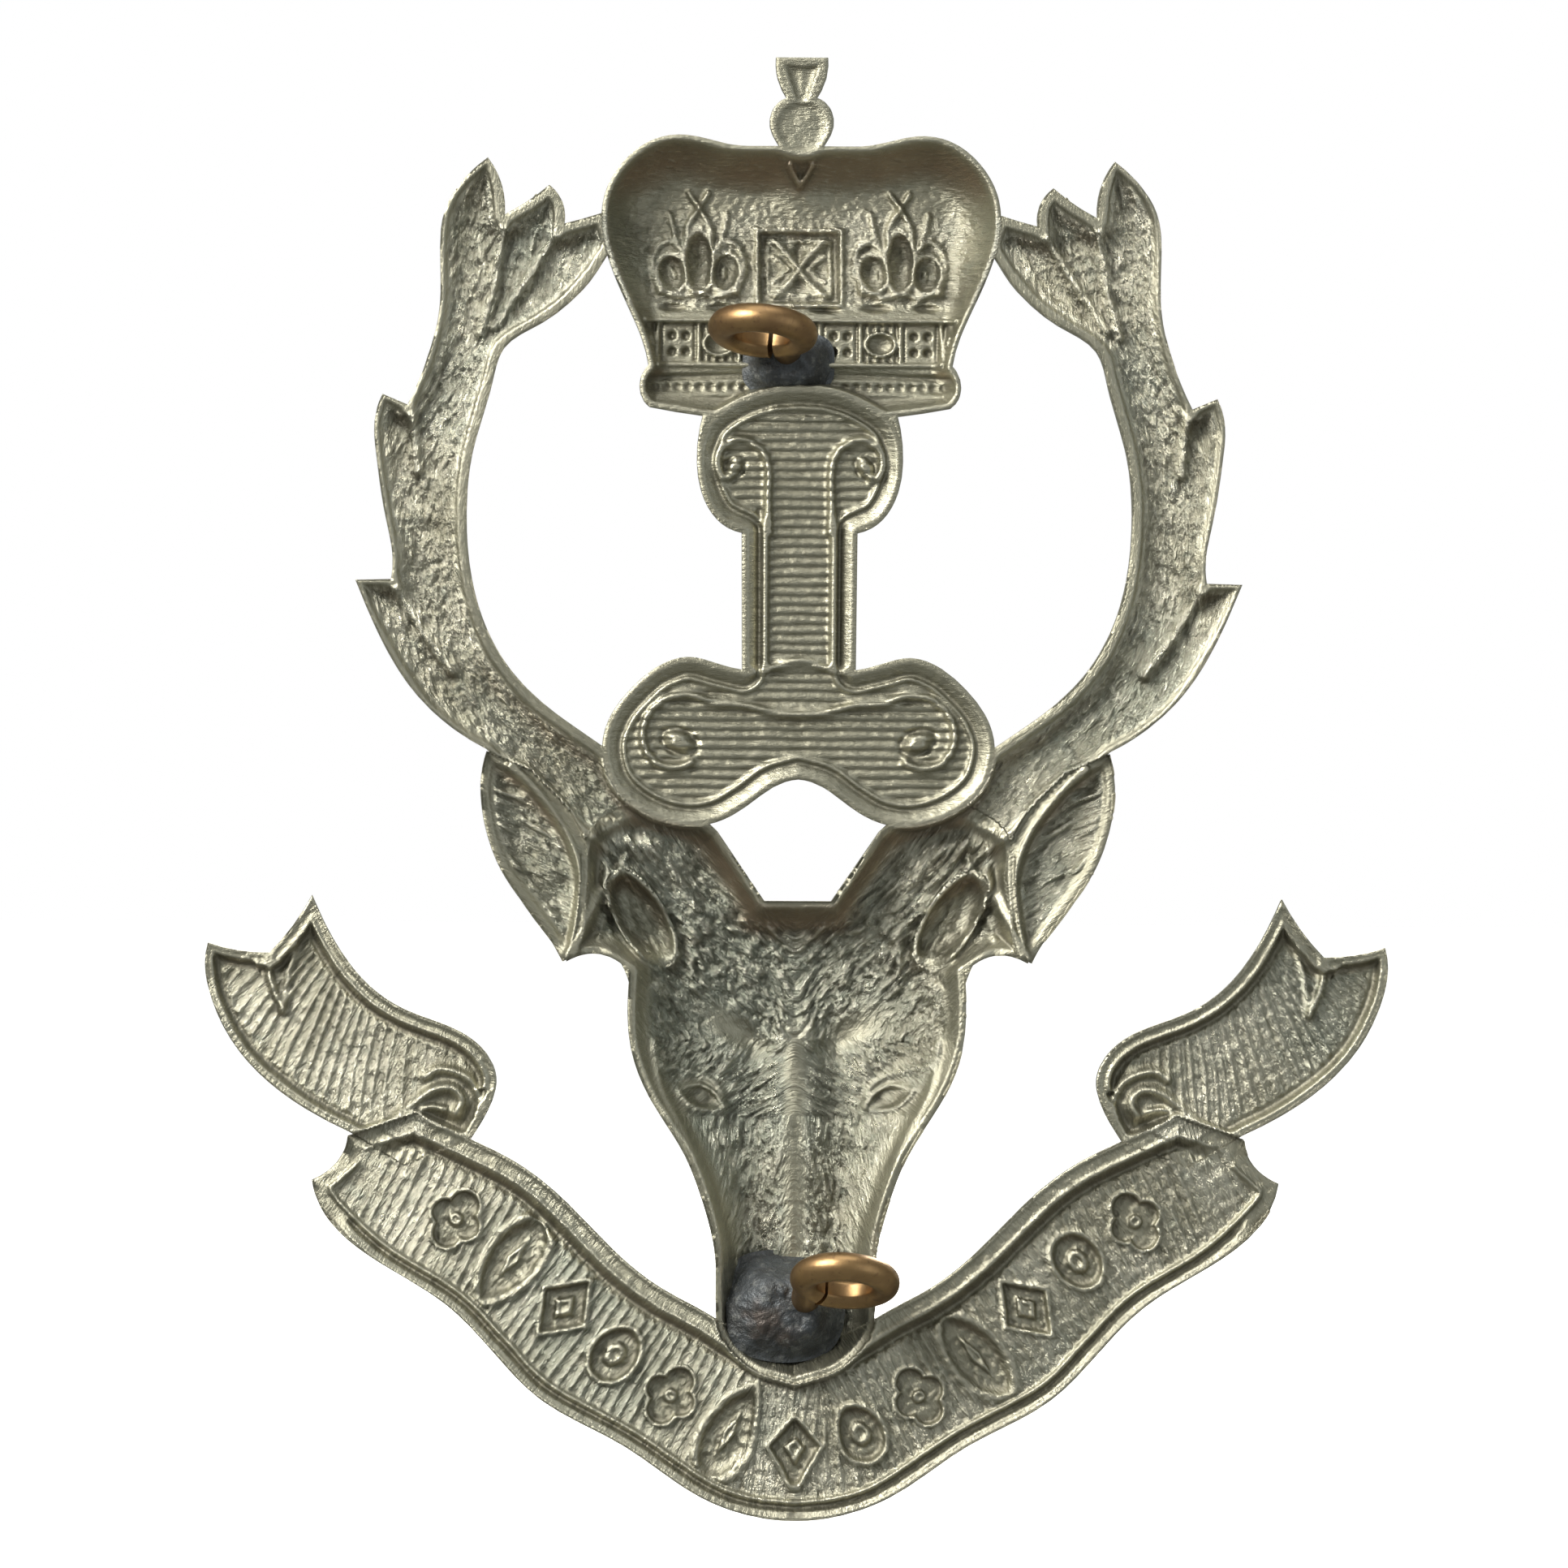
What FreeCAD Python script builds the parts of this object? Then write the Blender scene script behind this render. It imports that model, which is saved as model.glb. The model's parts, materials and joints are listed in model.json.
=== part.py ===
import FreeCAD, Part
import math
import os

# Die-struck sheet-metal cap badge with two soldered wire loops.
# Frame: +Z up the badge, +X to the right seen from behind, the rim plane at
# y = 0, the struck relief standing out towards +Y, the loops towards -Y.
# All lengths in millimetres.

# ---- driving dimensions -------------------------------------------------
BADGE_HEIGHT = 76.0       # top of the finial to the lowest point of the ribbon
BADGE_WIDTH = 61.6        # ribbon tail to ribbon tail
SHEET = 0.9               # thickness of the struck sheet
HEAD_FORWARD = 0.3        # the head's rim lies this far in front of the rim plane
RIM_ANTLER = 0.45         # flat left each side of the antlers' channels
CROWN_DEPTH = 2.7         # depth of each hollow behind the rim plane
ORNAMENT_DEPTH = 0.8
HEAD_DEPTH = 3.9
EAR_DEPTH = 1.1
RIBBON_DEPTH = 0.8
WIRE_DIAMETER = 1.5       # loop wire
LOOP_INSIDE = 2.7         # clear diameter inside a loop, before the land is worn
LAND = 0.1                # depth of the cylindrical land worn inside a loop
LOOP_SLIT = 0.3           # gap between the two ends of the wire
LOOP_REACH = 5.6          # how far a loop stands behind the rim plane
UPPER_X = -2.1
UPPER_Z = 23.7
UPPER_LEAN = 16.0         # degrees the ring leans up from level
UPPER_ROLL = 6.0          # degrees the ring dips to the right
LOWER_X = 2.4
LOWER_Z = -25.4
LOWER_LEAN = 22.0
LOWER_ROLL = 4.0
UPPER_SLIT_TURN = 20.0    # degrees round the ring from the point nearest the plate
LOWER_SLIT_TURN = -36.0
LEG_HOLD = 0.6            # how much of the hollow's depth the wire's end goes into
UPPER_SOLDER_WIDTH = 4.6
UPPER_SOLDER_HEIGHT = 3.0
LOWER_SOLDER_WIDTH = 5.8
LOWER_SOLDER_HEIGHT = 5.4

# ---- derived values -----------------------------------------------------
WIDE = BADGE_WIDTH / 61.6
TALL = BADGE_HEIGHT / 76.0
WIRE_R = WIRE_DIAMETER / 2.0
RING_R = LOOP_INSIDE / 2.0 + WIRE_R
BORE_R = LOOP_INSIDE / 2.0 + LAND


def across(x, z):
    """A design point in the badge's face, carried to the chosen overall size."""
    return (x * WIDE, z * TALL)


def vec(x, y, z):
    return FreeCAD.Vector(x, y, z)


def mirrored(half):
    """A closed outline from its right half, which runs from top to bottom."""
    right = [[across(x, z) for x, z in run] for run in half]
    left = [[(-x, z) for x, z in reversed(run)] for run in reversed(right)]
    return right + left


def closed(runs):
    return [[across(x, z) for x, z in run] for run in runs]


def flipped(runs):
    """The outline on the other side of the badge, turning the same way."""
    return [[(-x, z) for x, z in reversed(run)] for run in reversed(runs)]


def unit(dx, dz):
    length = math.hypot(dx, dz)
    return (dx / length, dz / length)


def inset(runs, depth):
    """The outline moved inwards by depth, point for point.

    Runs turn clockwise seen from behind, so inwards is to the right of travel.
    """
    points = []
    for run in runs:
        points.extend(run[:-1])
    count = len(points)
    moved = []
    for i in range(count):
        before = points[i - 1]
        here = points[i]
        after = points[(i + 1) % count]
        a = unit(here[0] - before[0], here[1] - before[1])
        b = unit(after[0] - here[0], after[1] - here[1])
        nx = a[1] + b[1]
        nz = -a[0] - b[0]
        n = unit(nx, nz)
        reach = max(0.45, n[0] * a[1] - n[1] * a[0])
        moved.append((here[0] + n[0] * depth / reach, here[1] + n[1] * depth / reach))
    result = []
    start = 0
    for run in runs:
        stop = start + len(run) - 1
        result.append([moved[k % count] for k in range(start, stop + 1)])
        start = stop
    return result


def wire_of(runs, y):
    """A closed wire at depth y: two-point runs are straight, longer runs are curves."""
    edges = []
    for run in runs:
        line = [vec(x, y, z) for x, z in run]
        if len(line) == 2:
            edges.append(Part.LineSegment(line[0], line[1]).toShape())
        else:
            curve = Part.BSplineCurve()
            curve.interpolate(line)
            edges.append(curve.toShape())
    return Part.Wire(edges)


def flat(runs, y, thickness):
    return Part.Face(wire_of(runs, y)).extrude(vec(0, thickness, 0))


def relief(runs, steps):
    """A solid that rises through the outline's insets: steps of (inset, y)."""
    wires = [wire_of(inset(runs, step[0]), step[1]) for step in steps]
    return Part.makeLoft(wires, True, True)


def channel(spine, y0, trim, low):
    """A half-round bar along a spine of (x, z, half width, height)."""
    sections = []
    count = len(spine)
    for i in range(count):
        x, z, half, high = spine[i]
        ahead = spine[min(i + 1, count - 1)]
        behind = spine[max(i - 1, 0)]
        t = unit(ahead[0] - behind[0], ahead[1] - behind[1])
        side = (t[1], -t[0])
        w = max(half - trim, 0.15)
        h = max(high - low, 0.15)
        left = vec(x - side[0] * w, y0, z - side[1] * w)
        right = vec(x + side[0] * w, y0, z + side[1] * w)
        crest = vec(x, y0 + h, z)
        bow = Part.Arc(left, crest, right).toShape()
        sections.append(Part.Wire([bow, Part.LineSegment(right, left).toShape()]))
    return Part.makeLoft(sections, True, True)


# ---- outlines (x, z) ----------------------------------------------------
FINIAL = mirrored([
    [(0.0, 38.0), (1.35, 38.0)],
    [(1.35, 38.0), (1.35, 37.4), (0.8, 35.9)],
    [(0.8, 35.9), (1.55, 35.2), (1.65, 34.4), (1.3, 33.6), (0.9, 33.0)],
    [(0.9, 33.0), (0.0, 33.0)],
])
CROWN = mirrored([
    [(0.0, 33.3), (1.4, 33.4), (3.6, 33.45), (6.0, 33.95), (7.7, 33.7), (9.3, 32.5), (10.2, 30.9),
     (10.35, 29.0), (9.9, 27.2), (9.1, 25.3), (8.3, 23.5), (7.9, 22.0)],
    [(7.9, 22.0), (8.3, 21.3), (8.3, 20.5), (7.8, 19.8)],
    [(7.8, 19.8), (4.0, 19.25), (0.0, 19.1)],
])
ORNAMENT = mirrored([
    [(0.0, 19.9), (4.9, 19.9)],
    [(4.9, 19.9), (5.2, 18.8), (5.35, 17.0), (5.1, 15.4), (4.3, 14.0), (3.0, 13.3)],
    [(3.0, 13.3), (2.95, 6.2)],
    [(2.95, 6.2), (4.2, 6.5), (5.8, 6.85), (7.4, 6.3), (8.7, 5.2), (9.7, 3.9), (10.2, 2.2),
     (9.7, 0.2), (8.2, -1.2), (6.2, -1.9), (4.3, -1.75), (2.7, -0.9), (1.3, 0.1), (0.0, 0.5)],
])
ANTLER = closed([
    [(9.6, 28.4), (10.4, 29.85)],
    [(10.4, 29.85), (11.2, 29.6), (12.3, 29.3)],
    [(12.3, 29.3), (12.45, 30.5), (13.1, 31.3)],
    [(13.1, 31.3), (14.0, 30.6), (15.4, 29.75)],
    [(15.4, 29.75), (15.6, 31.4), (16.3, 32.7)],
    [(16.3, 32.7), (17.6, 31.5), (18.5, 30.0), (18.75, 28.0), (18.75, 25.0), (19.4, 22.2), (20.4, 19.85)],
    [(20.4, 19.85), (21.7, 20.4)],
    [(21.7, 20.4), (22.1, 19.0), (22.0, 17.2), (21.5, 14.0), (21.15, 12.2), (21.2, 10.8)],
    [(21.2, 10.8), (23.05, 10.75)],
    [(23.05, 10.75), (22.0, 8.3), (19.8, 4.75), (18.0, 3.1), (16.2, 2.0)],
    [(16.2, 2.0), (13.4, -0.6), (10.0, -3.2), (7.6, -5.6), (5.6, -8.6)],
    [(5.6, -8.6), (1.9, -6.0)],
    [(1.9, -6.0), (4.2, -2.2)],
    [(4.2, -2.2), (7.0, -0.2), (10.2, 2.2), (13.4, 4.5), (15.1, 6.3), (16.2, 8.2), (17.0, 10.8),
     (17.3, 14.3), (17.0, 17.4), (16.0, 21.0), (15.4, 22.8), (13.4, 24.15), (12.0, 25.2), (10.6, 26.8)],
    [(10.6, 26.8), (9.6, 28.4)],
])
EAR = closed([
    [(13.9, 0.9), (16.2, 1.9)],
    [(16.2, 1.9), (16.5, 0.2), (16.25, -2.0), (15.4, -4.3), (13.1, -7.5), (12.2, -9.0)],
    [(12.2, -9.0), (11.3, -8.6)],
    [(11.3, -8.6), (11.1, -6.5), (10.6, -4.2), (11.4, -1.6), (13.9, 0.9)],
])
HEAD = mirrored([
    [(0.0, -5.8), (1.75, -5.8)],
    [(1.75, -5.8), (4.2, -2.2)],
    [(4.2, -2.2), (6.4, -0.9), (9.0, -0.9), (11.0, -2.4), (11.6, -4.9), (11.9, -7.2), (12.0, -9.0)],
    [(12.0, -9.0), (10.4, -8.6), (8.7, -9.5)],
    [(8.7, -9.5), (8.8, -11.6), (8.6, -13.6), (7.7, -15.95), (5.8, -19.05), (4.75, -21.8),
     (4.2, -24.2), (4.15, -26.6), (3.9, -28.4), (2.3, -30.1), (0.0, -30.9)],
])
BAND = mirrored([
    [(0.0, -29.2), (2.6, -28.4), (4.8, -27.1), (7.0, -25.9), (9.2, -24.2), (12.55, -20.9),
     (14.6, -19.4), (17.0, -18.2), (19.8, -16.9)],
    [(19.8, -16.9), (23.3, -18.1)],
    [(23.3, -18.1), (23.5, -18.9), (25.15, -20.4)],
    [(25.15, -20.4), (24.7, -21.8), (21.9, -24.5), (18.1, -26.9), (15.8, -29.2), (13.3, -31.7),
     (8.9, -34.15), (4.9, -36.8), (2.5, -37.7), (0.0, -38.0)],
])
TAIL = closed([
    [(16.9, -18.2), (15.8, -16.2), (15.6, -15.0), (16.1, -13.8), (17.5, -12.65), (20.4, -11.5),
     (22.2, -10.3), (23.7, -8.5), (25.2, -5.6)],
    [(25.2, -5.6), (26.2, -7.2), (27.4, -8.6)],
    [(27.4, -8.6), (29.0, -8.5), (30.6, -8.1)],
    [(30.6, -8.1), (30.75, -9.2), (30.4, -11.0), (29.4, -13.1), (28.0, -14.8), (25.5, -16.7), (23.2, -17.9)],
    [(23.2, -17.9), (20.4, -19.6)],
    [(20.4, -19.6), (16.9, -18.2)],
])

# Edges of the hollows on the rim plane.
CROWN_HOLLOW = mirrored([
    [(0.0, 32.6), (3.6, 32.7), (6.0, 33.15), (7.5, 32.9), (8.7, 31.9), (9.45, 30.5), (9.6, 28.9),
     (9.1, 27.2), (8.3, 25.4), (7.5, 23.3), (7.0, 20.8)],
    [(7.0, 20.8), (3.8, 20.35), (0.0, 20.2)],
])
HEAD_HOLLOW = mirrored([
    [(0.0, -6.45), (2.1, -6.45)],
    [(2.1, -6.45), (4.5, -2.95)],
    [(4.5, -2.95), (6.5, -1.7), (8.7, -1.8), (10.2, -3.2), (10.5, -5.3), (9.8, -7.4), (8.6, -9.2),
     (8.15, -11.0), (8.05, -13.3), (7.15, -15.8), (5.25, -18.9), (4.2, -21.7), (3.65, -24.2),
     (3.55, -26.6), (3.2, -28.3), (1.9, -29.7), (0.0, -30.3)],
])
EAR_HOLLOW = closed([
    [(14.7, 0.6), (15.9, 0.7)],
    [(15.9, 0.7), (15.75, -1.8), (14.9, -4.2), (13.3, -6.7), (12.2, -8.1)],
    [(12.2, -8.1), (11.7, -6.0), (11.35, -4.0), (12.5, -1.4), (14.7, 0.6)],
])
STEM_HOLLOW = mirrored([
    [(0.0, 17.9), (2.2, 17.6), (3.8, 17.2), (4.55, 16.4), (4.1, 15.2), (2.9, 14.4), (2.3, 13.0)],
    [(2.3, 13.0), (2.25, 7.0)],
    [(2.25, 7.0), (0.0, 6.6)],
])
SCROLL_HOLLOW = mirrored([
    [(0.0, 5.0), (2.0, 5.3), (4.0, 5.9), (6.0, 6.0), (7.9, 5.0), (9.0, 3.4), (9.3, 1.8), (8.3, 0.1),
     (6.5, -0.9), (4.6, -0.8), (2.9, 0.2), (1.4, 1.1), (0.0, 1.3)],
])
BAND_HOLLOW = mirrored([
    [(0.0, -32.2), (2.9, -31.4), (4.9, -29.4), (7.6, -27.2), (9.9, -25.3), (13.2, -22.0),
     (15.2, -20.6), (18.6, -18.9)],
    [(18.6, -18.9), (20.6, -18.3)],
    [(20.6, -18.3), (23.9, -21.1)],
    [(23.9, -21.1), (21.4, -23.6), (17.5, -26.1), (15.1, -28.5), (12.7, -30.9), (8.5, -33.3),
     (4.6, -35.9), (2.4, -36.7), (0.0, -37.0)],
])
TAIL_HOLLOW = closed([
    [(17.2, -16.6), (16.7, -15.2), (17.6, -13.7), (20.8, -12.4), (22.9, -11.0), (24.3, -9.3), (25.2, -7.4)],
    [(25.2, -7.4), (27.3, -9.7), (29.8, -9.2)],
    [(29.8, -9.2), (29.6, -10.7), (28.7, -12.6), (27.3, -14.3), (25.0, -15.9), (22.0, -17.2)],
    [(22.0, -17.2), (17.2, -16.6)],
])

# Antler spines: (x, z, half width, height of the crest above the rim plane).
BEAM = [
    (6.6, -4.2, 1.9, 2.6), (9.2, -1.6, 1.75, 2.3), (12.0, 0.9, 1.7, 2.0), (15.2, 3.6, 1.75, 1.9),
    (17.6, 7.0, 1.8, 1.9), (18.9, 10.8, 1.85, 1.9), (19.3, 14.3, 1.9, 1.9), (19.0, 17.8, 1.9, 1.9),
    (18.0, 21.2, 1.8, 1.9), (17.2, 24.4, 1.6, 1.8), (16.9, 27.2, 1.3, 1.6), (16.6, 29.6, 0.9, 1.3),
    (16.3, 31.6, 0.45, 1.05),
]
TINES = [
    [(16.6, 24.2, 1.3, 1.6), (14.2, 25.8, 1.2, 1.5), (12.4, 27.4, 1.1, 1.4), (11.2, 28.6, 0.7, 1.15)],
    [(16.4, 25.6, 1.2, 1.6), (14.9, 27.8, 1.1, 1.5), (13.9, 29.3, 0.9, 1.3), (13.3, 30.6, 0.4, 1.05)],
    [(19.6, 15.6, 1.1, 1.5), (20.7, 17.6, 0.95, 1.35), (21.5, 19.4, 0.45, 1.05)],
    [(19.4, 6.8, 1.0, 1.5), (20.8, 8.6, 0.9, 1.35), (22.2, 10.2, 0.4, 1.05)],
]


def scaled_spine(spine, side):
    return [(side * x * WIDE, z * TALL, half, high) for x, z, half, high in spine]


def crown_parts():
    full = SHEET + CROWN_DEPTH
    plate = flat(CROWN, 0.0, SHEET).fuse(flat(FINIAL, 0.0, SHEET))
    dome = relief(CROWN_HOLLOW, [(-0.5, 0.1), (-0.3, SHEET + 0.9), (0.5, full - 0.7), (1.8, full)])
    hollow = relief(CROWN_HOLLOW, [(0.0, -0.5), (0.0, 0.0), (0.35, 1.2), (1.1, CROWN_DEPTH - 0.6),
                                   (2.3, CROWN_DEPTH)])
    orb_x, orb_z = across(0.0, 34.45)
    orb = Part.makeSphere(1.5, vec(orb_x, SHEET - 0.2, orb_z))
    cup = Part.makeSphere(1.05, vec(orb_x, 0.0, orb_z))
    front = Part.makeBox(8.0, 8.0, 12.0, vec(-4.0, 0.0, 28.0 * TALL))
    return [plate, dome, orb.common(front)], [hollow, cup]


def ornament_parts():
    plate = flat(ORNAMENT, 0.0, SHEET)
    pads = []
    hollows = []
    for runs in (STEM_HOLLOW, SCROLL_HOLLOW):
        pads.append(relief(runs, [(-0.45, SHEET - 0.1), (-0.3, SHEET + 0.45), (0.3, SHEET + ORNAMENT_DEPTH)]))
        hollows.append(relief(runs, [(0.0, -0.5), (0.0, 0.0), (0.15, 0.5), (0.5, ORNAMENT_DEPTH)]))
    return [plate] + pads, hollows


def antler_parts():
    solids = []
    hollows = []
    for side in (1, -1):
        runs = ANTLER if side == 1 else flipped(ANTLER)
        solids.append(flat(runs, 0.0, SHEET))
        for spine in [BEAM] + TINES:
            bar = scaled_spine(spine, side)
            solids.append(channel(bar, 0.0, 0.1, 0.0))
            hollows.append(channel(bar, -0.01, RIM_ANTLER, SHEET))
    return solids, hollows


def head_parts():
    base = HEAD_FORWARD
    full = SHEET + HEAD_DEPTH
    solids = [flat(HEAD, base, SHEET)]
    solids.append(relief(HEAD_HOLLOW, [(-0.45, base + 0.1), (-0.3, 1.9), (0.2, full - 1.3), (1.3, full)]))
    hollows = [relief(HEAD_HOLLOW, [(0.0, -0.5), (0.0, base), (0.35, 1.6), (0.9, HEAD_DEPTH - 1.1),
                                    (1.9, HEAD_DEPTH)])]
    for side in (1, -1):
        runs = EAR if side == 1 else flipped(EAR)
        inner = EAR_HOLLOW if side == 1 else flipped(EAR_HOLLOW)
        solids.append(flat(runs, base, SHEET))
        solids.append(relief(inner, [(-0.4, base + 0.1), (-0.25, SHEET + 0.7), (0.3, SHEET + EAR_DEPTH)]))
        hollows.append(relief(inner, [(0.0, -0.5), (0.0, base), (0.2, 0.8), (0.6, EAR_DEPTH)]))
    return solids, hollows


def ribbon_parts():
    solids = [flat(BAND, 0.0, SHEET)]
    hollows = []
    pans = [(BAND_HOLLOW, 0.0), (TAIL_HOLLOW, 0.0), (flipped(TAIL_HOLLOW), 0.0)]
    solids.append(flat(TAIL, 0.0, SHEET))
    solids.append(flat(flipped(TAIL), 0.0, SHEET))
    for runs, y in pans:
        solids.append(relief(runs, [(-0.5, SHEET - 0.1), (-0.3, SHEET + 0.4), (0.3, SHEET + RIBBON_DEPTH)]))
        hollows.append(relief(runs, [(0.0, y - 0.5), (0.0, y), (0.2, 0.5), (0.6, RIBBON_DEPTH)]))
    return solids, hollows


def make_badge_plate():
    """One struck sheet: crown, ornament, antlers, head with ears and ribbon."""
    solids = []
    hollows = []
    for build in (crown_parts, ornament_parts, antler_parts, head_parts, ribbon_parts):
        more, less = build()
        solids.extend(more)
        hollows.extend(less)
    body = solids[0].fuse(solids[1:])
    for hollow in hollows:
        body = body.cut(hollow)
    return body.removeSplitter()


def loop_frame(x, z, lean, roll):
    """Ring centre and its directions: to the right, outwards, and along the bore."""
    t = math.radians(lean)
    r = math.radians(roll)
    level = vec(1, 0, 0)
    out = vec(0, -math.cos(t), math.sin(t))
    drop = level.cross(out)
    right = level * math.cos(r) + drop * math.sin(r)
    down = right.cross(out)
    sx, sz = across(x, z)
    centre = vec(sx, -LOOP_REACH + WIRE_R + RING_R * math.cos(t), sz)
    return centre, FreeCAD.Rotation(right, out, down, "XYZ")


def ring_foot(lean):
    """Depth of the wire's centreline where the ring comes nearest the plate."""
    return -LOOP_REACH + WIRE_R + 2 * RING_R * math.cos(math.radians(lean))


def make_loop(x, z, lean, roll, slit_turn, depth):
    """A wire ring, slit where its two ends meet, with one end turned into the solder.

    slit_turn is the angle of the slit from the point nearest the plate, and the
    leg grows from the wire's end just past the slit into a hollow this deep.
    """
    leg_length = (depth * LEG_HOLD - ring_foot(lean)) / math.cos(math.radians(lean))
    ring = Part.makeTorus(RING_R, WIRE_R)
    slit = Part.makeBox(LOOP_SLIT, RING_R, 4 * WIRE_R,
                        vec(-LOOP_SLIT / 2.0, -RING_R - 1.2 * WIRE_R, -2 * WIRE_R))
    slit.rotate(vec(0, 0, 0), vec(0, 0, 1), slit_turn)
    bore = Part.makeCylinder(BORE_R, 4 * WIRE_R, vec(0, 0, -2 * WIRE_R))
    side = 1.0 if slit_turn > 0 else -1.0
    turn = math.radians(slit_turn) + side * (LOOP_SLIT / 2.0 + WIRE_R) / RING_R
    root = vec(math.sin(turn) * RING_R, -math.cos(turn) * RING_R, 0)
    leg = Part.makeCylinder(WIRE_R, leg_length, root, vec(0, -1, 0))
    shape = ring.fuse(leg).cut(slit).cut(bore).removeSplitter()
    centre, turned = loop_frame(x, z, lean, roll)
    shape.Placement = FreeCAD.Placement(centre, turned)
    return shape


def oval(x, y, z, wide, high):
    """An oval wire at depth y, given its full width and height."""
    major = max(wide, high) / 2.0
    minor = min(wide, high) / 2.0
    ellipse = Part.Ellipse(vec(0, 0, 0), major, minor)
    wire = Part.Wire([ellipse.toShape()])
    spin = 0.0 if wide >= high else 90.0
    wire.rotate(vec(0, 0, 0), vec(0, 0, 1), spin)
    wire.rotate(vec(0, 0, 0), vec(1, 0, 0), 90.0)
    wire.translate(vec(x, y, z))
    return wire


def make_solder(x, z, wide, high, top, floor, plate, loop):
    """A mound of solder from inside the hollow up round the wire's leg."""
    sx, sz = across(x, z)
    wires = [
        oval(sx, floor, sz, wide, high),
        oval(sx, (floor + top) * 0.45, sz, wide * 0.96, high * 0.94),
        oval(sx, top + 0.5, sz, wide * 0.8, high * 0.74),
        oval(sx, top, sz, wide * 0.5, high * 0.42),
    ]
    mound = Part.makeLoft(wires, True, False)
    mound = mound.cut(plate).cut(loop)
    return max(mound.Solids, key=lambda solid: solid.Volume)


def export(shape, name):
    shape.exportStep(os.path.join("parts", name + ".step"))
    print(name, shape.isValid(), len(shape.Solids), round(shape.Volume, 2))


def main():
    os.makedirs("parts", exist_ok=True)
    plate = make_badge_plate()
    upper_loop = make_loop(UPPER_X, UPPER_Z, UPPER_LEAN, UPPER_ROLL, UPPER_SLIT_TURN, CROWN_DEPTH)
    lower_loop = make_loop(LOWER_X, LOWER_Z, LOWER_LEAN, LOWER_ROLL, LOWER_SLIT_TURN, HEAD_DEPTH)
    upper_solder = make_solder(UPPER_X + 1.5, UPPER_Z - 1.7, UPPER_SOLDER_WIDTH, UPPER_SOLDER_HEIGHT,
                               ring_foot(UPPER_LEAN) - 0.1, CROWN_DEPTH + 0.2, plate, upper_loop)
    lower_solder = make_solder(LOWER_X - 2.8, LOWER_Z - 1.5, LOWER_SOLDER_WIDTH, LOWER_SOLDER_HEIGHT,
                               ring_foot(LOWER_LEAN) + 0.25, HEAD_DEPTH + 0.2, plate, lower_loop)
    export(plate, "badge_plate")
    export(upper_loop, "upper_loop")
    export(lower_loop, "lower_loop")
    export(upper_solder, "upper_solder")
    export(lower_solder, "lower_solder")


if __name__ == "__main__":
    main()
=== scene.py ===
import json
import math

import bmesh
import bpy
import numpy as np
from mathutils import Matrix, Vector, kdtree
from mathutils.geometry import delaunay_2d_cdt


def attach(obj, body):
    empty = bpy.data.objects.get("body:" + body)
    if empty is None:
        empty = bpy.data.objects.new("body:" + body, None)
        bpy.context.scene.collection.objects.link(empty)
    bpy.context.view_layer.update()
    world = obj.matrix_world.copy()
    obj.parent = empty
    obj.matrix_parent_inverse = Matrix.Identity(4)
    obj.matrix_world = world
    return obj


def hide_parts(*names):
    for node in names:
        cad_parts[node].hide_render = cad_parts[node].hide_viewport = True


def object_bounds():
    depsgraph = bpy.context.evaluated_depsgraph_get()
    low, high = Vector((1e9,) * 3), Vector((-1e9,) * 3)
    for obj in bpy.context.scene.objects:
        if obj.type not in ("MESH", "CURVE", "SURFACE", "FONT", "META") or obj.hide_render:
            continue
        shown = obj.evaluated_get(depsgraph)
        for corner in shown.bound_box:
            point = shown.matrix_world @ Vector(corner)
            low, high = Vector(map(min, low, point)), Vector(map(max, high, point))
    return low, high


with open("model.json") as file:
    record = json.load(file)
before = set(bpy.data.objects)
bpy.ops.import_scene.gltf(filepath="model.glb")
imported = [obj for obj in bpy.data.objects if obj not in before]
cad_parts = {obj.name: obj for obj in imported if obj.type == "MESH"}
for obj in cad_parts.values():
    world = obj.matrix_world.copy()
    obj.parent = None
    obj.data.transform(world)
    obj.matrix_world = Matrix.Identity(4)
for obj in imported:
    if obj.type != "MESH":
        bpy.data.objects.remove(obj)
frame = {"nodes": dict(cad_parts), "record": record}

bl_info = {
    "name": "Struck Cap Badge",
    "version": (1, 0, 0),
    "blender": (4, 5, 0),
    "location": "View3D > Sidebar > Badge",
    "description": "Finishes the back of a die-struck cap badge with wire loops and solder",
    "category": "Object",
}

MM = 0.001
CAD_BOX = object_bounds()


# ---- curves and distances, in millimetres -------------------------------
def curve(points, step=0.28):
    """A smooth open line through points; two points stay a straight line."""
    p = np.array(points, float)
    if len(p) == 2:
        count = max(2, int(np.hypot(*(p[1] - p[0])) / step) + 1)
        t = np.linspace(0, 1, count)[:, None]
        return p[0] + (p[1] - p[0]) * t
    ends = np.vstack([2 * p[0] - p[1], p, 2 * p[-1] - p[-2]])
    out = []
    for i in range(1, len(ends) - 2):
        a, b, c, d = ends[i - 1], ends[i], ends[i + 1], ends[i + 2]
        count = max(3, int(np.hypot(*(c - b)) / step) + 1)
        t = np.linspace(0, 1, count, endpoint=False)[:, None]
        out.append(0.5 * (2 * b + (c - a) * t + (2 * a - 5 * b + 4 * c - d) * t**2
                          + (3 * b - a - 3 * c + d) * t**3))
    out.append(p[-1][None])
    return np.vstack(out)


def outline(*runs):
    """A closed outline from runs that share their end points."""
    return np.vstack([curve(run)[:-1] for run in runs])


def both_sides(*runs):
    """A closed outline from its right half, which runs from top to bottom."""
    half = np.vstack([curve(run)[:-1] for run in runs] + [np.array(runs[-1][-1:], float)])
    return np.vstack([half, (half * (-1, 1))[::-1][1:-1]])


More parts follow.
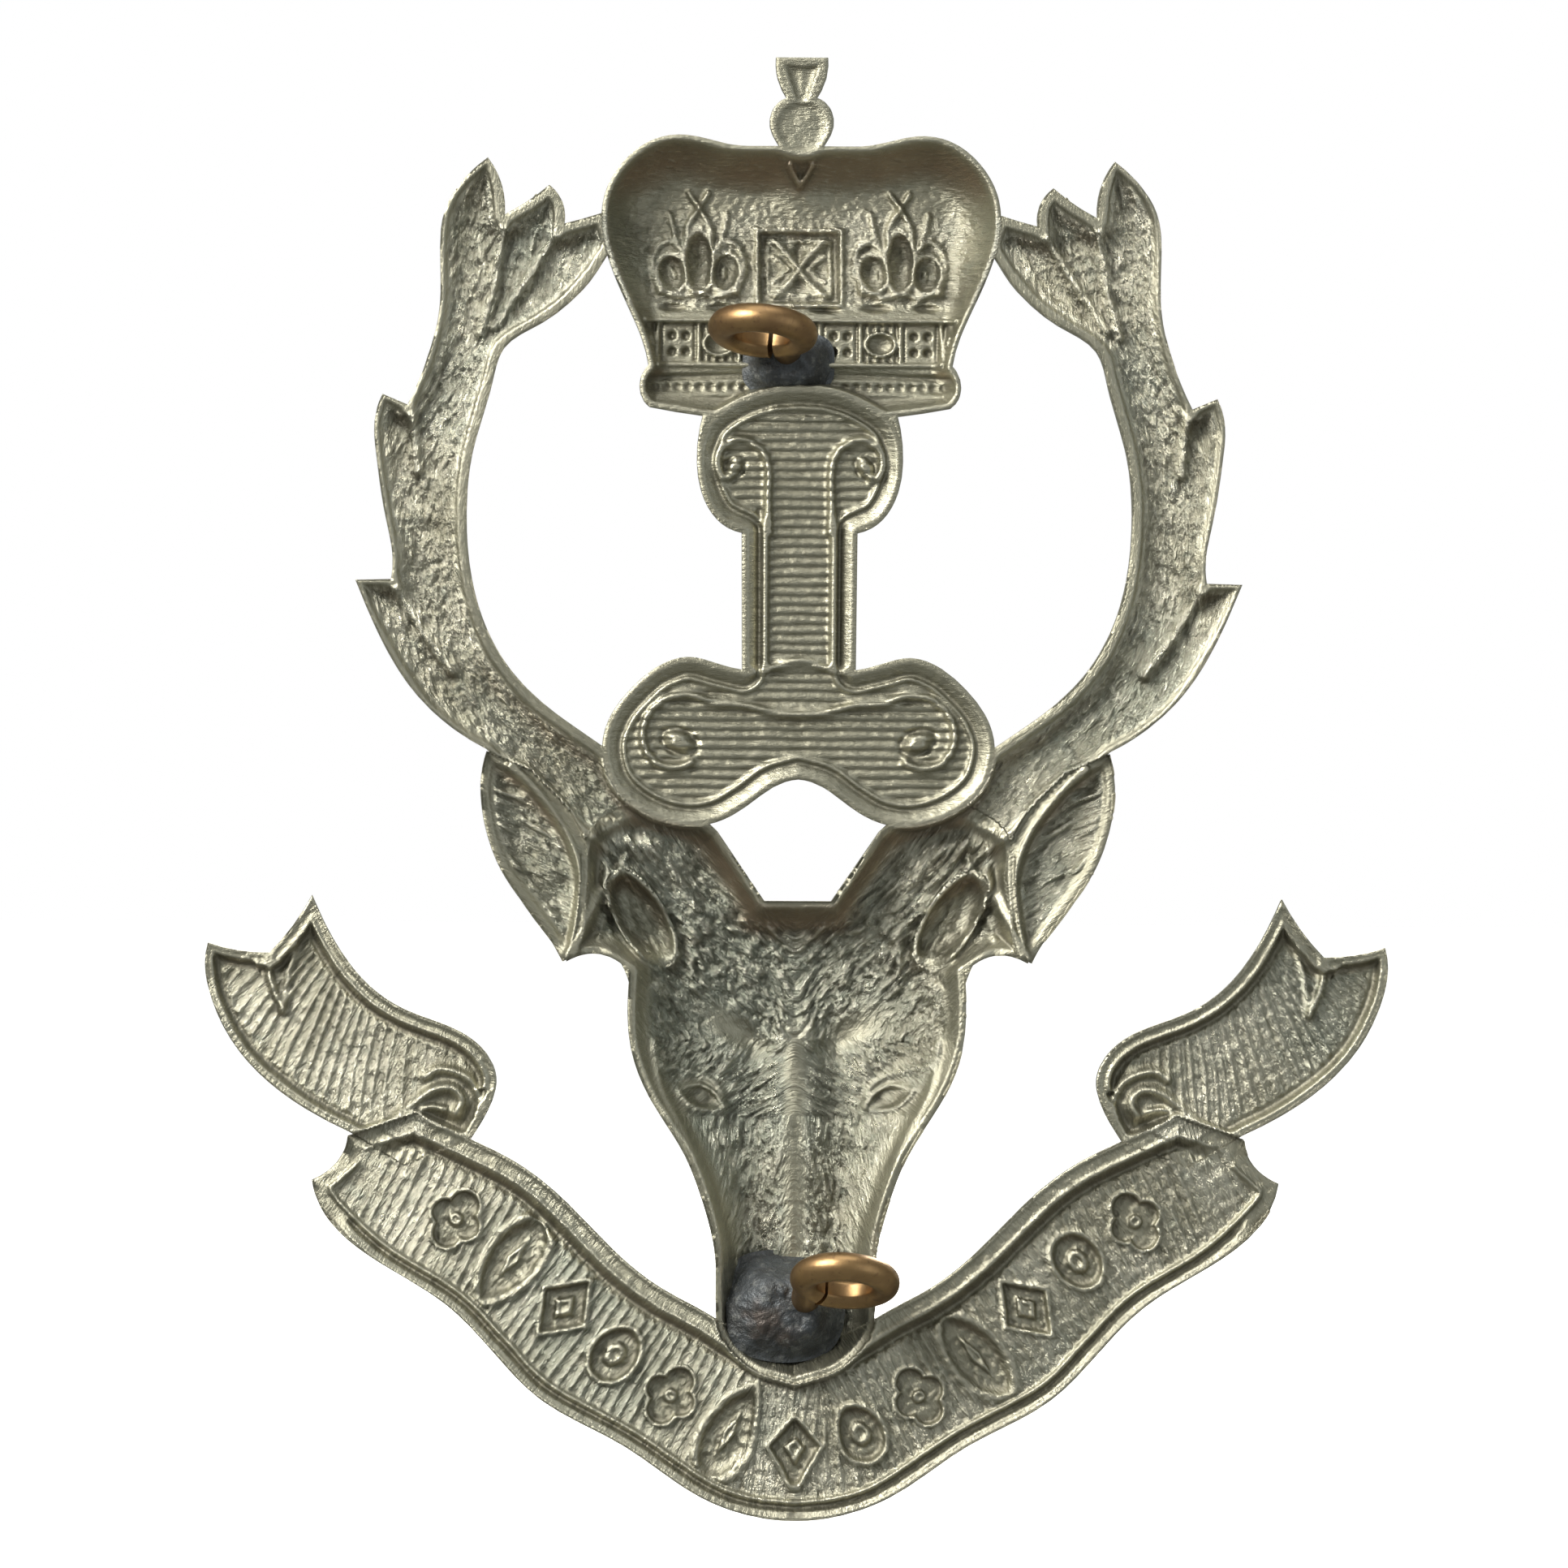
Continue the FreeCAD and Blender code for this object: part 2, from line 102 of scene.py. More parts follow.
def from_line(x, z, line, closed=False):
    """Distance to a line, the length along it at the nearest point, and the side."""
    if closed:
        line = np.vstack([line, line[:1]])
    best = np.full(x.shape, 1e9)
    along = np.zeros(x.shape)
    side = np.zeros(x.shape)
    run = 0.0
    for a, b in zip(line[:-1], line[1:]):
        dx, dz = b - a
        length = math.hypot(dx, dz)
        if length < 1e-9:
            continue
        px, pz = x - a[0], z - a[1]
        t = np.clip((px * dx + pz * dz) / length**2, 0, 1)
        d = np.hypot(px - t * dx, pz - t * dz)
        closer = d < best
        best = np.where(closer, d, best)
        along = np.where(closer, run + t * length, along)
        side = np.where(closer, (px * dz - pz * dx) / length, side)
        run += length
    return best, along, side


def inside(x, z, *lines):
    """True where a point lies inside closed lines, counting a line within a line as a hole."""
    order = np.argsort(z)
    xs, zs = x[order], z[order]
    odd = np.zeros(x.shape, bool)
    for line in lines:
        for a, b in zip(line, np.roll(line, -1, axis=0)):
            if a[1] == b[1]:
                continue
            lo, hi = np.searchsorted(zs, (min(a[1], b[1]), max(a[1], b[1])), side="right")
            odd[lo:hi] ^= xs[lo:hi] < a[0] + (zs[lo:hi] - a[1]) * (b[0] - a[0]) / (b[1] - a[1])
    out = np.zeros(x.shape, bool)
    out[order] = odd
    return out


def depth_in(x, z, line, reach=6.0):
    """Signed distance to a closed line, positive inside."""
    out = np.full(x.shape, -reach)
    near = ((x > line[:, 0].min() - reach) & (x < line[:, 0].max() + reach)
            & (z > line[:, 1].min() - reach) & (z < line[:, 1].max() + reach))
    d = from_line(x[near], z[near], line, closed=True)[0]
    out[near] = np.where(inside(x[near], z[near], line), d, -d)
    return out


def ease(t):
    """A soft step from 0 to 1 as t goes from 0 to 1."""
    t = np.clip(t, 0, 1)
    return t * t * (3 - 2 * t)


def bowl(d, width, power=2.0):
    """Rises from 0 at the rim to 1 where d reaches width."""
    t = np.clip(d / width, 0, 1)
    return 1 - (1 - t) ** power


def rise(t, width=1.0, power=2):
    """A rounded swelling: 1 where t is 0, falling away over a width to either side."""
    return np.exp(-((t / width) ** power))


def smooth_max(a, b, k):
    """The larger of two depths, blended where they differ by less than k."""
    h = np.clip(0.5 + 0.5 * (a - b) / k, 0, 1)
    return b + (a - b) * h + k * h * (1 - h)


def lattice(i, j, seed):
    """One seeded value between -1 and 1 for each whole-numbered point."""
    n = (i * 374761393 + j * 668265263 + seed * 1442695041) & 0xFFFFFFFF
    n = ((n ^ (n >> 13)) * 1274126177) & 0xFFFFFFFF
    return ((n ^ (n >> 16)) & 0xFFFF) / 32767.5 - 1.0


def grain(x, z, seed=0):
    """Smooth seeded noise between about -1 and 1 with features one unit across."""
    i, j = np.floor(x).astype(np.int64), np.floor(z).astype(np.int64)
    fx, fz = ease(x - i), ease(z - j)
    a = lattice(i, j, seed) * (1 - fx) + lattice(i + 1, j, seed) * fx
    b = lattice(i, j + 1, seed) * (1 - fx) + lattice(i + 1, j + 1, seed) * fx
    return a * (1 - fz) + b * fz


# ---- outlines of the struck elements (x, z) ------------------------------
# Each outline holds the right half; both_sides mirrors it and ANTLER, EAR and TAIL stay halves.
CROWN = both_sides(
    [(0.0, 33.3), (1.4, 33.4), (3.6, 33.45), (6.0, 33.95), (7.7, 33.7), (9.3, 32.5), (10.2, 30.9),
     (10.35, 29.0), (9.9, 27.2), (9.1, 25.3), (8.3, 23.5), (7.9, 22.0)],
    [(7.9, 22.0), (8.3, 21.3), (8.3, 20.5), (7.8, 19.8)],
    [(7.8, 19.8), (4.0, 19.25), (0.0, 19.1)],
)
ORNAMENT = both_sides(
    [(0.0, 20.95), (1.6, 20.8), (3.2, 20.25), (4.5, 19.4), (5.15, 18.4), (5.35, 17.0), (5.1, 15.4),
     (4.3, 14.0), (3.0, 13.3)],
    [(3.0, 13.3), (2.95, 6.2)],
    [(2.95, 6.2), (4.2, 6.5), (5.8, 6.85), (7.4, 6.3), (8.7, 5.2), (9.7, 3.9), (10.2, 2.2),
     (9.7, 0.2), (8.2, -1.2), (6.2, -1.9), (4.3, -1.75), (2.7, -0.9), (1.3, 0.1), (0.0, 0.5)],
)
ANTLER = outline(
    [(9.6, 28.4), (10.4, 29.85)],
    [(10.4, 29.85), (11.2, 29.6), (12.3, 29.3)],
    [(12.3, 29.3), (12.45, 30.5), (13.1, 31.3)],
    [(13.1, 31.3), (14.0, 30.6), (15.4, 29.75)],
    [(15.4, 29.75), (15.6, 31.4), (16.3, 32.7)],
    [(16.3, 32.7), (17.6, 31.5), (18.5, 30.0), (18.75, 28.0), (18.75, 25.0), (19.4, 22.2),
     (20.4, 19.85)],
    [(20.4, 19.85), (21.7, 20.4)],
    [(21.7, 20.4), (22.1, 19.0), (22.0, 17.2), (21.5, 14.0), (21.15, 12.2), (21.2, 10.8)],
    [(21.2, 10.8), (23.05, 10.75)],
    [(23.05, 10.75), (22.0, 8.3), (19.8, 4.75), (18.0, 3.1), (16.2, 2.0)],
    [(16.2, 2.0), (13.4, -0.6), (10.0, -3.2), (7.6, -5.6), (5.6, -8.6)],
    [(5.6, -8.6), (1.9, -6.0)],
    [(1.9, -6.0), (4.2, -2.2)],
    [(4.2, -2.2), (7.0, -0.2), (10.2, 2.2), (13.4, 4.5), (15.1, 6.3), (16.2, 8.2), (17.0, 10.8),
     (17.3, 14.3), (17.0, 17.4), (16.0, 21.0), (15.4, 22.8), (13.4, 24.15), (12.0, 25.2),
     (10.6, 26.8)],
    [(10.6, 26.8), (9.6, 28.4)],
)
BEAM = curve([(4.6, -6.6), (6.6, -4.2), (9.2, -1.6), (12.0, 0.9), (15.2, 3.6), (17.6, 7.0),
              (18.9, 10.8), (19.3, 14.3), (19.0, 17.8), (18.0, 21.2), (17.2, 24.4), (16.9, 27.2),
              (16.6, 29.6), (16.3, 31.6)])
EAR = outline(
    [(13.9, 0.9), (16.2, 1.9)],
    [(16.2, 1.9), (16.5, 0.2), (16.25, -2.0), (15.4, -4.3), (13.1, -7.5), (12.2, -9.0)],
    [(12.2, -9.0), (11.3, -8.6)],
    [(11.3, -8.6), (11.1, -6.5), (10.8, -4.2), (11.6, -1.6), (13.9, 0.9)],
)
HEAD = both_sides(
    [(0.0, -5.8), (1.75, -5.8)],
    [(1.75, -5.8), (4.2, -2.2)],
    [(4.2, -2.2), (6.4, -0.9), (9.0, -0.9), (11.0, -2.4), (11.3, -4.9), (11.5, -7.2), (12.0, -9.0)],
    [(12.0, -9.0), (10.4, -8.6), (8.7, -9.5)],
    [(8.7, -9.5), (8.8, -11.6), (8.6, -13.6), (7.7, -15.95), (5.8, -19.05), (4.75, -21.8),
     (4.2, -24.2), (4.15, -26.6), (3.9, -28.4), (2.3, -30.1), (0.0, -30.9)],
)
BAND = both_sides(
    [(0.0, -29.2), (2.6, -28.4), (4.8, -27.1), (7.0, -25.9), (9.2, -24.2), (12.55, -20.9),
     (14.6, -19.4), (17.0, -18.2), (19.8, -16.9)],
    [(19.8, -16.9), (23.3, -18.1)],
    [(23.3, -18.1), (23.5, -18.9), (25.15, -20.4)],
    [(25.15, -20.4), (24.7, -21.8), (21.9, -24.5), (18.1, -26.9), (15.8, -29.2), (13.3, -31.7),
     (8.9, -34.15), (4.9, -36.8), (2.5, -37.7), (0.0, -38.0)],
)
TAIL = outline(
    [(16.9, -18.2), (15.8, -16.2), (15.6, -15.0), (16.1, -13.8), (17.5, -12.65), (20.4, -11.5),
     (22.2, -10.3), (23.7, -8.5), (25.2, -5.6)],
    [(25.2, -5.6), (26.2, -7.2), (27.4, -8.6)],
    [(27.4, -8.6), (29.0, -8.5), (30.6, -8.1)],
    [(30.6, -8.1), (30.75, -9.2), (30.4, -11.0), (29.4, -13.1), (28.0, -14.8), (25.5, -16.7),
     (23.2, -17.9)],
    [(23.2, -17.9), (20.4, -19.6)],
    [(20.4, -19.6), (16.9, -18.2)],
)
BAND_MIDDLE = curve([(0.0, -34.4), (2.6, -34.0), (5.2, -32.5), (8.7, -30.1), (11.6, -27.5),
                     (14.6, -24.7), (17.6, -22.6), (20.6, -20.7), (24.0, -18.6)])
TAIL_MIDDLE = curve([(16.6, -15.6), (18.6, -15.3), (21.8, -14.3), (24.6, -12.8), (26.8, -11.0),
                     (28.6, -8.6)])


class Relief:
    """The points of the sheet's back face, and how their marks run.

    Depths are millimetres towards +Y, so a larger depth is a deeper hollow from behind.
    """

    def __init__(self, x, z):
        self.x = x
        self.z = z
        self.a = np.abs(x)
        self.u = x.copy()
        self.v = z.copy()
        self.coat = np.full(x.shape, 0.35)

    def lay(self, where, u, v, coat):
        """Which way the marks run: u along them, v across them, and how strong they are."""
        self.u = np.where(where, u, self.u)
        self.v = np.where(where, v, self.v)
        self.coat = np.where(where, coat, self.coat)

    def ridge(self, h, points, half, height, keep=None):
        """Raise a rounded line towards the back; points are given on the right half."""
        line = curve(points)
        reach = 4 * half
        near = ((self.a > line[:, 0].min() - reach) & (self.a < line[:, 0].max() + reach)
                & (self.z > line[:, 1].min() - reach) & (self.z < line[:, 1].max() + reach))
        if keep is not None:
            near &= keep
        d = from_line(self.a[near], self.z[near], line)[0]
        h[near] -= height * rise(d, half)

    def pit(self, h, x, z, wide, high, turn, depth, edge=0.0, power=2.0):
        """Sink an oval; a positive edge also raises a lip round it."""
        c, s = math.cos(math.radians(turn)), math.sin(math.radians(turn))
        reach = 2.2 * max(wide, high)
        near = (np.abs(self.a - x) < reach) & (np.abs(self.z - z) < reach)
        px, pz = self.a[near] - x, self.z[near] - z
        r = np.hypot((px * c + pz * s) / wide, (-px * s + pz * c) / high)
        h[near] += depth * bowl(1 - r, 1.0, power)
        if edge:
            h[near] -= edge * rise((r - 1.06) * min(wide, high), 0.14)


def crown_relief(r):
    x, z, a = r.x, r.z, r.a
    d = depth_in(x, z, CROWN)
    floor = np.interp(z, [19.2, 19.9, 20.9, 21.6, 22.0, 24.1, 24.6, 25.4, 28.0, 31.0, 33.5],
                      [0.5, 1.0, 1.15, 1.05, 1.3, 1.5, 1.35, 2.0, 2.75, 2.75, 2.4])
    sides = bowl(d - 0.26, 0.9 + 1.5 * ease((z - 24) / 4), 2.1)
    h = floor * sides
    body = ease((z - 24.8) / 0.6)
    hammered = (0.10 * grain(x * 1.1, z * 1.1, 3) + 0.06 * grain(x * 3.1, z * 3.1, 4)
                + 0.035 * strokes((x + z) / 0.5, (x - z) / 0.3, 5)
                + 0.05 * grain(x * 6.5, z * 6.5, 8))
    h += body * sides * hammered * np.interp(z, [29.0, 31.5], [1.0, 0.25])
    r.lay(d > 0, x, z, 0.3 + 0.4 * body * ease((30.5 - z) / 1.5))
    # lobes either side of the centre dip
    h -= 0.3 * body * sides * rise(a, 1.4) * ease((z - 29.2) / 2.0)
    r.ridge(h, [(0.0, 31.45), (0.35, 31.95), (0.6, 32.45)], 0.17, 0.55)
    h *= ease(np.hypot(a, z - 34.45) / 0.5 - 3.0)
    # square panel with crossed ribs
    box = np.maximum(a - 2.12, np.abs(z - 27.15) - 1.9)
    h += 0.3 * ease(-box / 0.25) * (d > 0)
    h -= 0.3 * rise(box - 0.08, 0.13)
    h -= 0.16 * rise(box + 0.5, 0.10)
    r.ridge(h, [(0.0, 27.1), (0.6, 27.9), (1.3, 28.5)], 0.2, 0.34)
    r.ridge(h, [(0.0, 27.1), (0.6, 26.3), (1.3, 25.7)], 0.2, 0.34)
    r.ridge(h, [(0.55, 27.1), (0.95, 27.5), (1.35, 27.75)], 0.12, 0.2)
    r.ridge(h, [(0.55, 27.1), (0.95, 26.7), (1.35, 26.45)], 0.12, 0.2)
    r.pit(h, 0.0, 28.1, 0.35, 0.45, 0, 0.2)
    r.pit(h, 0.0, 26.1, 0.35, 0.45, 0, 0.2)
    # leaf sprays either side of the panel
    r.pit(h, 5.25, 27.4, 0.66, 1.6, 0, 0.55, 0.3, 1.5)
    r.pit(h, 3.85, 26.9, 0.68, 0.95, 12, 0.48, 0.32, 1.5)
    r.pit(h, 6.65, 26.85, 0.68, 0.95, -12, 0.48, 0.32, 1.5)
    r.pit(h, 3.95, 26.85, 0.24, 0.38, 10, -0.3)
    r.pit(h, 6.55, 26.8, 0.24, 0.4, -10, -0.3)
    for flip in (-1, 1):
        for stem, half, height in (
                ([(0.7, 28.2), (0.6, 29.2), (0.1, 30.1), (-0.5, 31.0)], 0.16, 0.3),
                ([(0.8, 27.9), (1.3, 29.0), (1.5, 29.9)], 0.15, 0.22),
                ([(0.8, 27.7), (1.4, 28.5), (2.1, 28.2), (2.4, 27.1), (2.0, 25.9)], 0.18, 0.3)):
            r.ridge(h, [(5.25 + q * flip, t) for q, t in stem], half, height)
    r.ridge(h, [(3.3, 25.9), (4.4, 25.6), (5.3, 25.9), (6.2, 25.6), (7.3, 25.9)], 0.18, 0.32)
    r.pit(h, 4.0, 25.05, 0.9, 0.24, 0, 0.4)
    r.pit(h, 6.6, 25.05, 0.8, 0.24, 0, 0.4)
    r.pit(h, 1.3, 24.95, 0.9, 0.2, 0, 0.35)
    # jewelled band: rails, upright bars, ovals and pellets
    rail = rise(z - 24.35, 0.13) + rise(z - 22.05, 0.13)
    h -= 0.32 * rail * (d > 0.5)
    field = (z > 22.2) & (z < 24.2) & (d > 0.5)
    cell = (a + 1.05) % 2.1 - 1.05
    lane = np.floor((a + 1.05) / 2.1)
    bars = 0.5 + 0.5 * np.cos(2 * np.pi * a / 0.42)
    h += np.where(field, 0.16 * bars, 0)
    oval = np.hypot(cell / 0.72, (z - 23.15) / 0.55)
    pellets = np.hypot((np.abs(cell) - 0.36) / 0.26, (np.abs(z - 23.15) - 0.42) / 0.28)
    is_oval = lane % 2 == 0
    h += np.where(field & is_oval & (oval < 1.15), 0.32 * bowl(1 - oval, 1.0) - 0.16 * bars, 0)
    h -= np.where(field & is_oval, 0.22 * rise(oval - 1.1, 0.16), 0)
    dotted = field & ~is_oval & (np.abs(cell) < 0.8)
    h += np.where(dotted, 0.34 * bowl(1 - pellets, 1.0) - 0.16 * bars, 0)
    h -= np.where(field, 0.2 * rise(np.abs(cell) - 1.0, 0.1), 0)
    # dark groove, pearl row and foot
    h += 0.3 * rise(z - 21.55 + 0.012 * a * a * 0.3, 0.2) * (d > 0.3)
    pearl = np.hypot(((a + 0.29) % 0.58 - 0.29) / 0.25, (z - 20.9) / 0.24)
    h += 0.16 * bowl(1 - pearl, 1.0) * (d > 0.45)
    h -= 0.12 * rise(z - 20.5, 0.12) * (d > 0.4)
    return np.where(d > 0, h, 0), d


def finial_relief(r):
    """The ball and the flared cap on top of the crown."""
    x, z, a = r.x, r.z, r.a
    ball = 1.5 - np.hypot(a, z - 34.4)
    flared = np.minimum(1.35 - 0.24 * (38.0 - z) - a, 38.0 - z)
    d = np.maximum(ball, np.where(z > 35.4, flared, -5))
    h = 0.17 * bowl(ball - 0.16, 0.4)
    h += 0.035 * grain(x * 2.4, z * 2.4, 8) * ease((ball - 0.25) / 0.2)
    cap = (z > 35.75) & (z < 37.8)
    sunk = np.minimum(0.98 - 0.34 * (37.75 - z) - a, 37.62 - z)
    h += np.where(cap, 0.26 * bowl(sunk, 0.4), 0)
    h -= np.where(cap, 0.05 * rise(a, 0.16), 0)
    here = (z > 33.0) & (a < 2.2)
    return np.where(here, h, 0), np.where(here, d, -6)


def coil(x, z, start, stop, first, sweep, count):
    """Points of a spiral round a centre, from one radius to another."""
    turn = np.radians(np.linspace(first, first + sweep, count))
    radius = np.linspace(start, stop, count)
    return [(x + q * math.cos(t), z + q * math.sin(t)) for q, t in zip(radius, turn)]


def ornament_relief(r):
    x, z, a = r.x, r.z, r.a
    d = depth_in(x, z, ORNAMENT)
    h = 0.36 * bowl(d - 0.3, 0.8, 1.8)
    h += 0.1 * rise(d - 0.86, 0.15)
    h -= 0.2 * rise(d - 1.12, 0.12)
    drift = 0.05 * grain(x * 0.5, z * 1.2, 12) + 0.02 * grain(x * 1.6, z * 3.0, 13)
    lines = 0.5 + 0.5 * np.cos(2 * np.pi * (z + drift) / 0.5)
    hatched = 0.15 * lines**2.4 * (0.9 + 0.2 * grain(x * 1.1, z * 0.9, 14))
    r.lay(d > 0, x, z, 0.2)
    cover = ease((d - 1.3) / 0.12)
    # coiled tips: a raised line that winds in to a drop-shaped boss
    top = [(1.6, 13.4), (1.65, 14.9)] + coil(3.35, 16.75, 1.75, 0.75, 190, -250, 9)
    low = [(0.0, 3.9), (1.5, 4.0), (3.0, 4.4)] + coil(6.2, 2.5, 2.6, 1.25, 130, -250, 11)
    side = from_line(a, z, curve([(1.75, 14.0), (1.75, 6.0)]))[0]
    shaft = (z < 14.6) & (z > 6.0)
    cover = np.where(shaft, ease((1.62 - a) / 0.15), cover)
    h += hatched * cover * (d > 0.9)
    for line in (top, low):
        r.ridge(h, line, 0.2, 0.42)
    h -= np.where(shaft, 0.34 * rise(side, 0.17), 0)
    h += np.where(shaft, 0.14 * rise(a - 2.1, 0.18), 0)
    r.pit(h, 3.4, 16.7, 0.62, 0.85, 30, 0.3)
    r.pit(h, 3.4, 16.7, 0.46, 0.7, 30, -0.8, 0, 1.7)
    r.pit(h, 6.2, 2.45, 1.2, 0.85, 24, 0.4)
    r.pit(h, 6.2, 2.45, 0.95, 0.62, 24, -0.95, 0, 1.7)
    collar = rise(z - 6.35 - 0.25 * np.cos(a * 1.2), 0.22) * (a < 2.9)
    h -= 0.35 * collar
    h += 0.02 * grain(x * 3.4, z * 3.4, 15) * ease((d - 0.2) / 0.3)
    return np.where(d > 0, h, 0), d


def antler_relief(r):
    z, a = r.z, r.a
    d = depth_in(a, z, ANTLER)
    _, along, side = from_line(a, z, BEAM)
    near = d > -0.5
    inner = ease(-side / 0.6 + 0.5)
    rim = 0.2 + 0.2 * inner
    h = 0.95 * bowl(d - rim, 1.35, 1.9)
    h -= 0.2 * rise(d - rim + 0.02, 0.12) * (d > 0.1) * inner
    for notch in ([(12.3, 29.3), (13.6, 27.4), (14.9, 25.4), (15.9, 23.9)],
                  [(15.4, 29.75), (15.7, 27.6), (16.0, 25.6), (16.6, 23.6)],
                  [(20.4, 19.85), (20.0, 18.2), (19.9, 16.4)],
                  [(21.2, 10.8), (20.3, 9.3), (19.2, 7.6), (18.0, 6.0)]):
        r.ridge(h, notch, 0.26, 0.5, near)
    rough = ease((d - rim - 0.1) / 0.4)
    h += rough * (0.13 * strokes(along / 0.65, (side + 0.2 * along) / 0.3, 22)
                  + 0.06 * grain(along / 0.24, side / 0.14, 25))
    r.lay(d > 0, along, side, 0.25 + 0.75 * rough)
    return np.where(d > 0, h, 0), d


def strokes(u, v, seed):
    """Short tapering strokes that run along u, about one unit wide across v."""
    lane = v + 0.6 * grain(u * 0.5, v * 0.35, seed)
    thick = grain(u * 0.42, lane, seed + 1)
    thin = grain(u * 0.7, lane * 1.9, seed + 2)
    return 0.7 * (1 - 2.2 * np.abs(thick)) + 0.4 * (1 - 2.2 * np.abs(thin)) - 0.2


HEAD_LIMIT = 3.88  # deepest hollow of the head; the sheet's thickness comes on top of it


def head_relief(r):
    # the rounded distance from the middle keeps the nose free of a hard centre line
    x, z, a = r.x, r.z, np.sqrt(r.x**2 + 0.12)
    d = depth_in(x, z, HEAD)
    deep = np.interp(z, [-31, -28, -24, -19, -15, -11, -8, -5.8, -3, -1],
                     [1.6, 2.3, 2.72, 2.74, 2.76, 2.7, 2.5, 2.1, 1.7, 1.4])
    wide = np.interp(z, [-31, -24, -19, -15, -11, -8, -5, -2],
                     [2.0, 2.2, 2.8, 3.4, 3.2, 1.9, 1.3, 1.2])
    deep = deep * np.interp(a, [6.5, 10.5], [1.0, 0.62])
    h = deep * bowl(d - 0.34, wide, 1.9)
    # a low smooth ridge down the nose between two soft troughs that widen into the brow
    face = ease((-10.0 - z) / 4.0) * ease((z + 30.5) / 2.0)
    bridge = np.interp(z, [-28, -22, -16, -12, -9], [1.75, 1.6, 1.45, 1.3, 2.2])
    h += 0.64 * face * rise(a - bridge * 1.55, bridge * 0.66)
    h -= 0.08 * face * rise(a, 0.95, 4)
    # the brow swells over each eye, with a smooth thumb mark running up and out
    h += 0.18 * rise(np.hypot((a - 1.9) / 2.3, (z + 10.2) / 2.6))
    cx, cz = a - 3.1, z + 12.55
    mark = np.hypot((cx * 0.83 + cz * 0.56) / 2.2, (-cx * 0.56 + cz * 0.83) / 0.95)
    h += 0.24 * rise(mark)
    h -= 0.1 * rise(np.hypot((a - 4.9) / 1.7, (z + 13.4) / 0.9))
    # lids and eye
    r.ridge(h, [(3.6, -16.5), (4.0, -15.5), (4.9, -14.9), (6.0, -14.6), (6.9, -14.4)], 0.2, 0.22)
    r.ridge(h, [(3.7, -16.6), (4.15, -15.85), (4.9, -15.4), (5.6, -15.45), (6.1, -15.7)], 0.13, 0.2)
    r.ridge(h, [(3.7, -16.7), (4.4, -16.75), (5.3, -16.55), (6.0, -15.9)], 0.15, 0.2)
    r.pit(h, 4.9, -16.05, 0.85, 0.5, 18, 0.24, 0.1, 1.6)
    r.pit(h, 4.85, -16.0, 0.42, 0.34, 18, -0.18)
    h += 0.2 * rise(np.hypot((a - 3.2) / 0.8, (z + 16.6) / 1.1))
    # cheek fold near the rim
    fold = [(7.4, -13.2), (7.0, -15.4), (5.6, -18.2), (4.5, -21.0), (3.6, -24.0), (3.2, -26.6)]
    r.ridge(h, fold, 0.2, 0.22)
    # almond hollow of each brow bud inside a hood that ends in the ear's point
    px, pz = a - 8.05, z + 6.75
    long = px * 0.53 + pz * 0.85
    over = -px * 0.85 + pz * 0.53
    leaf = np.hypot(np.abs(over / 1.08) ** 1.25, np.abs(long / 2.35) ** 0.95)
    outer = ease((over + 0.35) / 0.7)
    h += 0.6 * bowl(1 - leaf, 0.6, 1.8)
    h -= 0.5 * rise(leaf - 1.16, 0.16) * (1 - outer) * ease((long + 2.4) / 1.2)
    h += 0.22 * rise(leaf - 1.5, 0.22) * (1 - outer)
    h -= 0.42 * rise(leaf - 1.13, 0.15) * outer
    h += 0.16 * rise(leaf - 1.45, 0.18) * outer
    within = leaf < 0.95
    h += np.where(within, 0.2 * strokes(long / 0.8, over / 0.32, 91), 0)
    hood = [(10.9, -2.2), (10.0, -3.2), (9.95, -4.4), (10.4, -5.9), (11.1, -7.4), (11.7, -8.5)]
    r.ridge(h, hood, 0.3, 0.42)
    r.ridge(h, [(8.9, -3.6), (9.5, -4.8), (9.8, -6.3), (10.3, -7.7)], 0.2, 0.24)
    r.ridge(h, [(5.4, -8.9), (5.2, -6.8), (6.0, -4.7), (7.5, -3.3), (9.1, -2.8)], 0.5, 0.3)
    r.ridge(h, [(6.3, -9.3), (6.1, -7.6)], 0.3, 0.2)
    h += 0.2 * rise(np.hypot((a - 10.3) / 0.5, (z + 7.9) / 1.0))
    # coat: chevrons on the brow, fine strokes that lie down the face below the eyes
    turn = np.radians(np.interp(z, [-24, -17, -13, -6, -2], [84, 76, 50, 40, 52]))
    u = a * np.cos(turn) + z * np.sin(turn)
    v = -a * np.sin(turn) + z * np.cos(turn)
    smooth = np.maximum(rise(mark), 0.9 * rise(a, 0.75, 4) * face)
    smooth = np.maximum(smooth, 1 - ease((d - 0.75) / 0.9))
    lids = rise(np.hypot((a - 4.9) / 1.7, (z + 15.9) / 1.1), 1.0, 4)
    coat = (1 - smooth) * np.where(leaf < 1.2, 0.3, 1.0) * (1 - 0.75 * lids)
    size = np.interp(z, [-22, -17, -12], [0.6, 0.7, 1.0])
    h += coat * size * (0.24 * strokes(u / 0.55, v / 0.3, 32) + 0.06 * grain(u / 0.2, v / 0.13, 35))
    h += coat * 0.07 * grain(x * 0.8, z * 0.8, 31)
    r.lay(d > 0, u, v, 0.25 + 0.75 * coat)
    h = np.minimum(h + 0.3, HEAD_LIMIT)
    return np.where(d > 0, h, 0), d


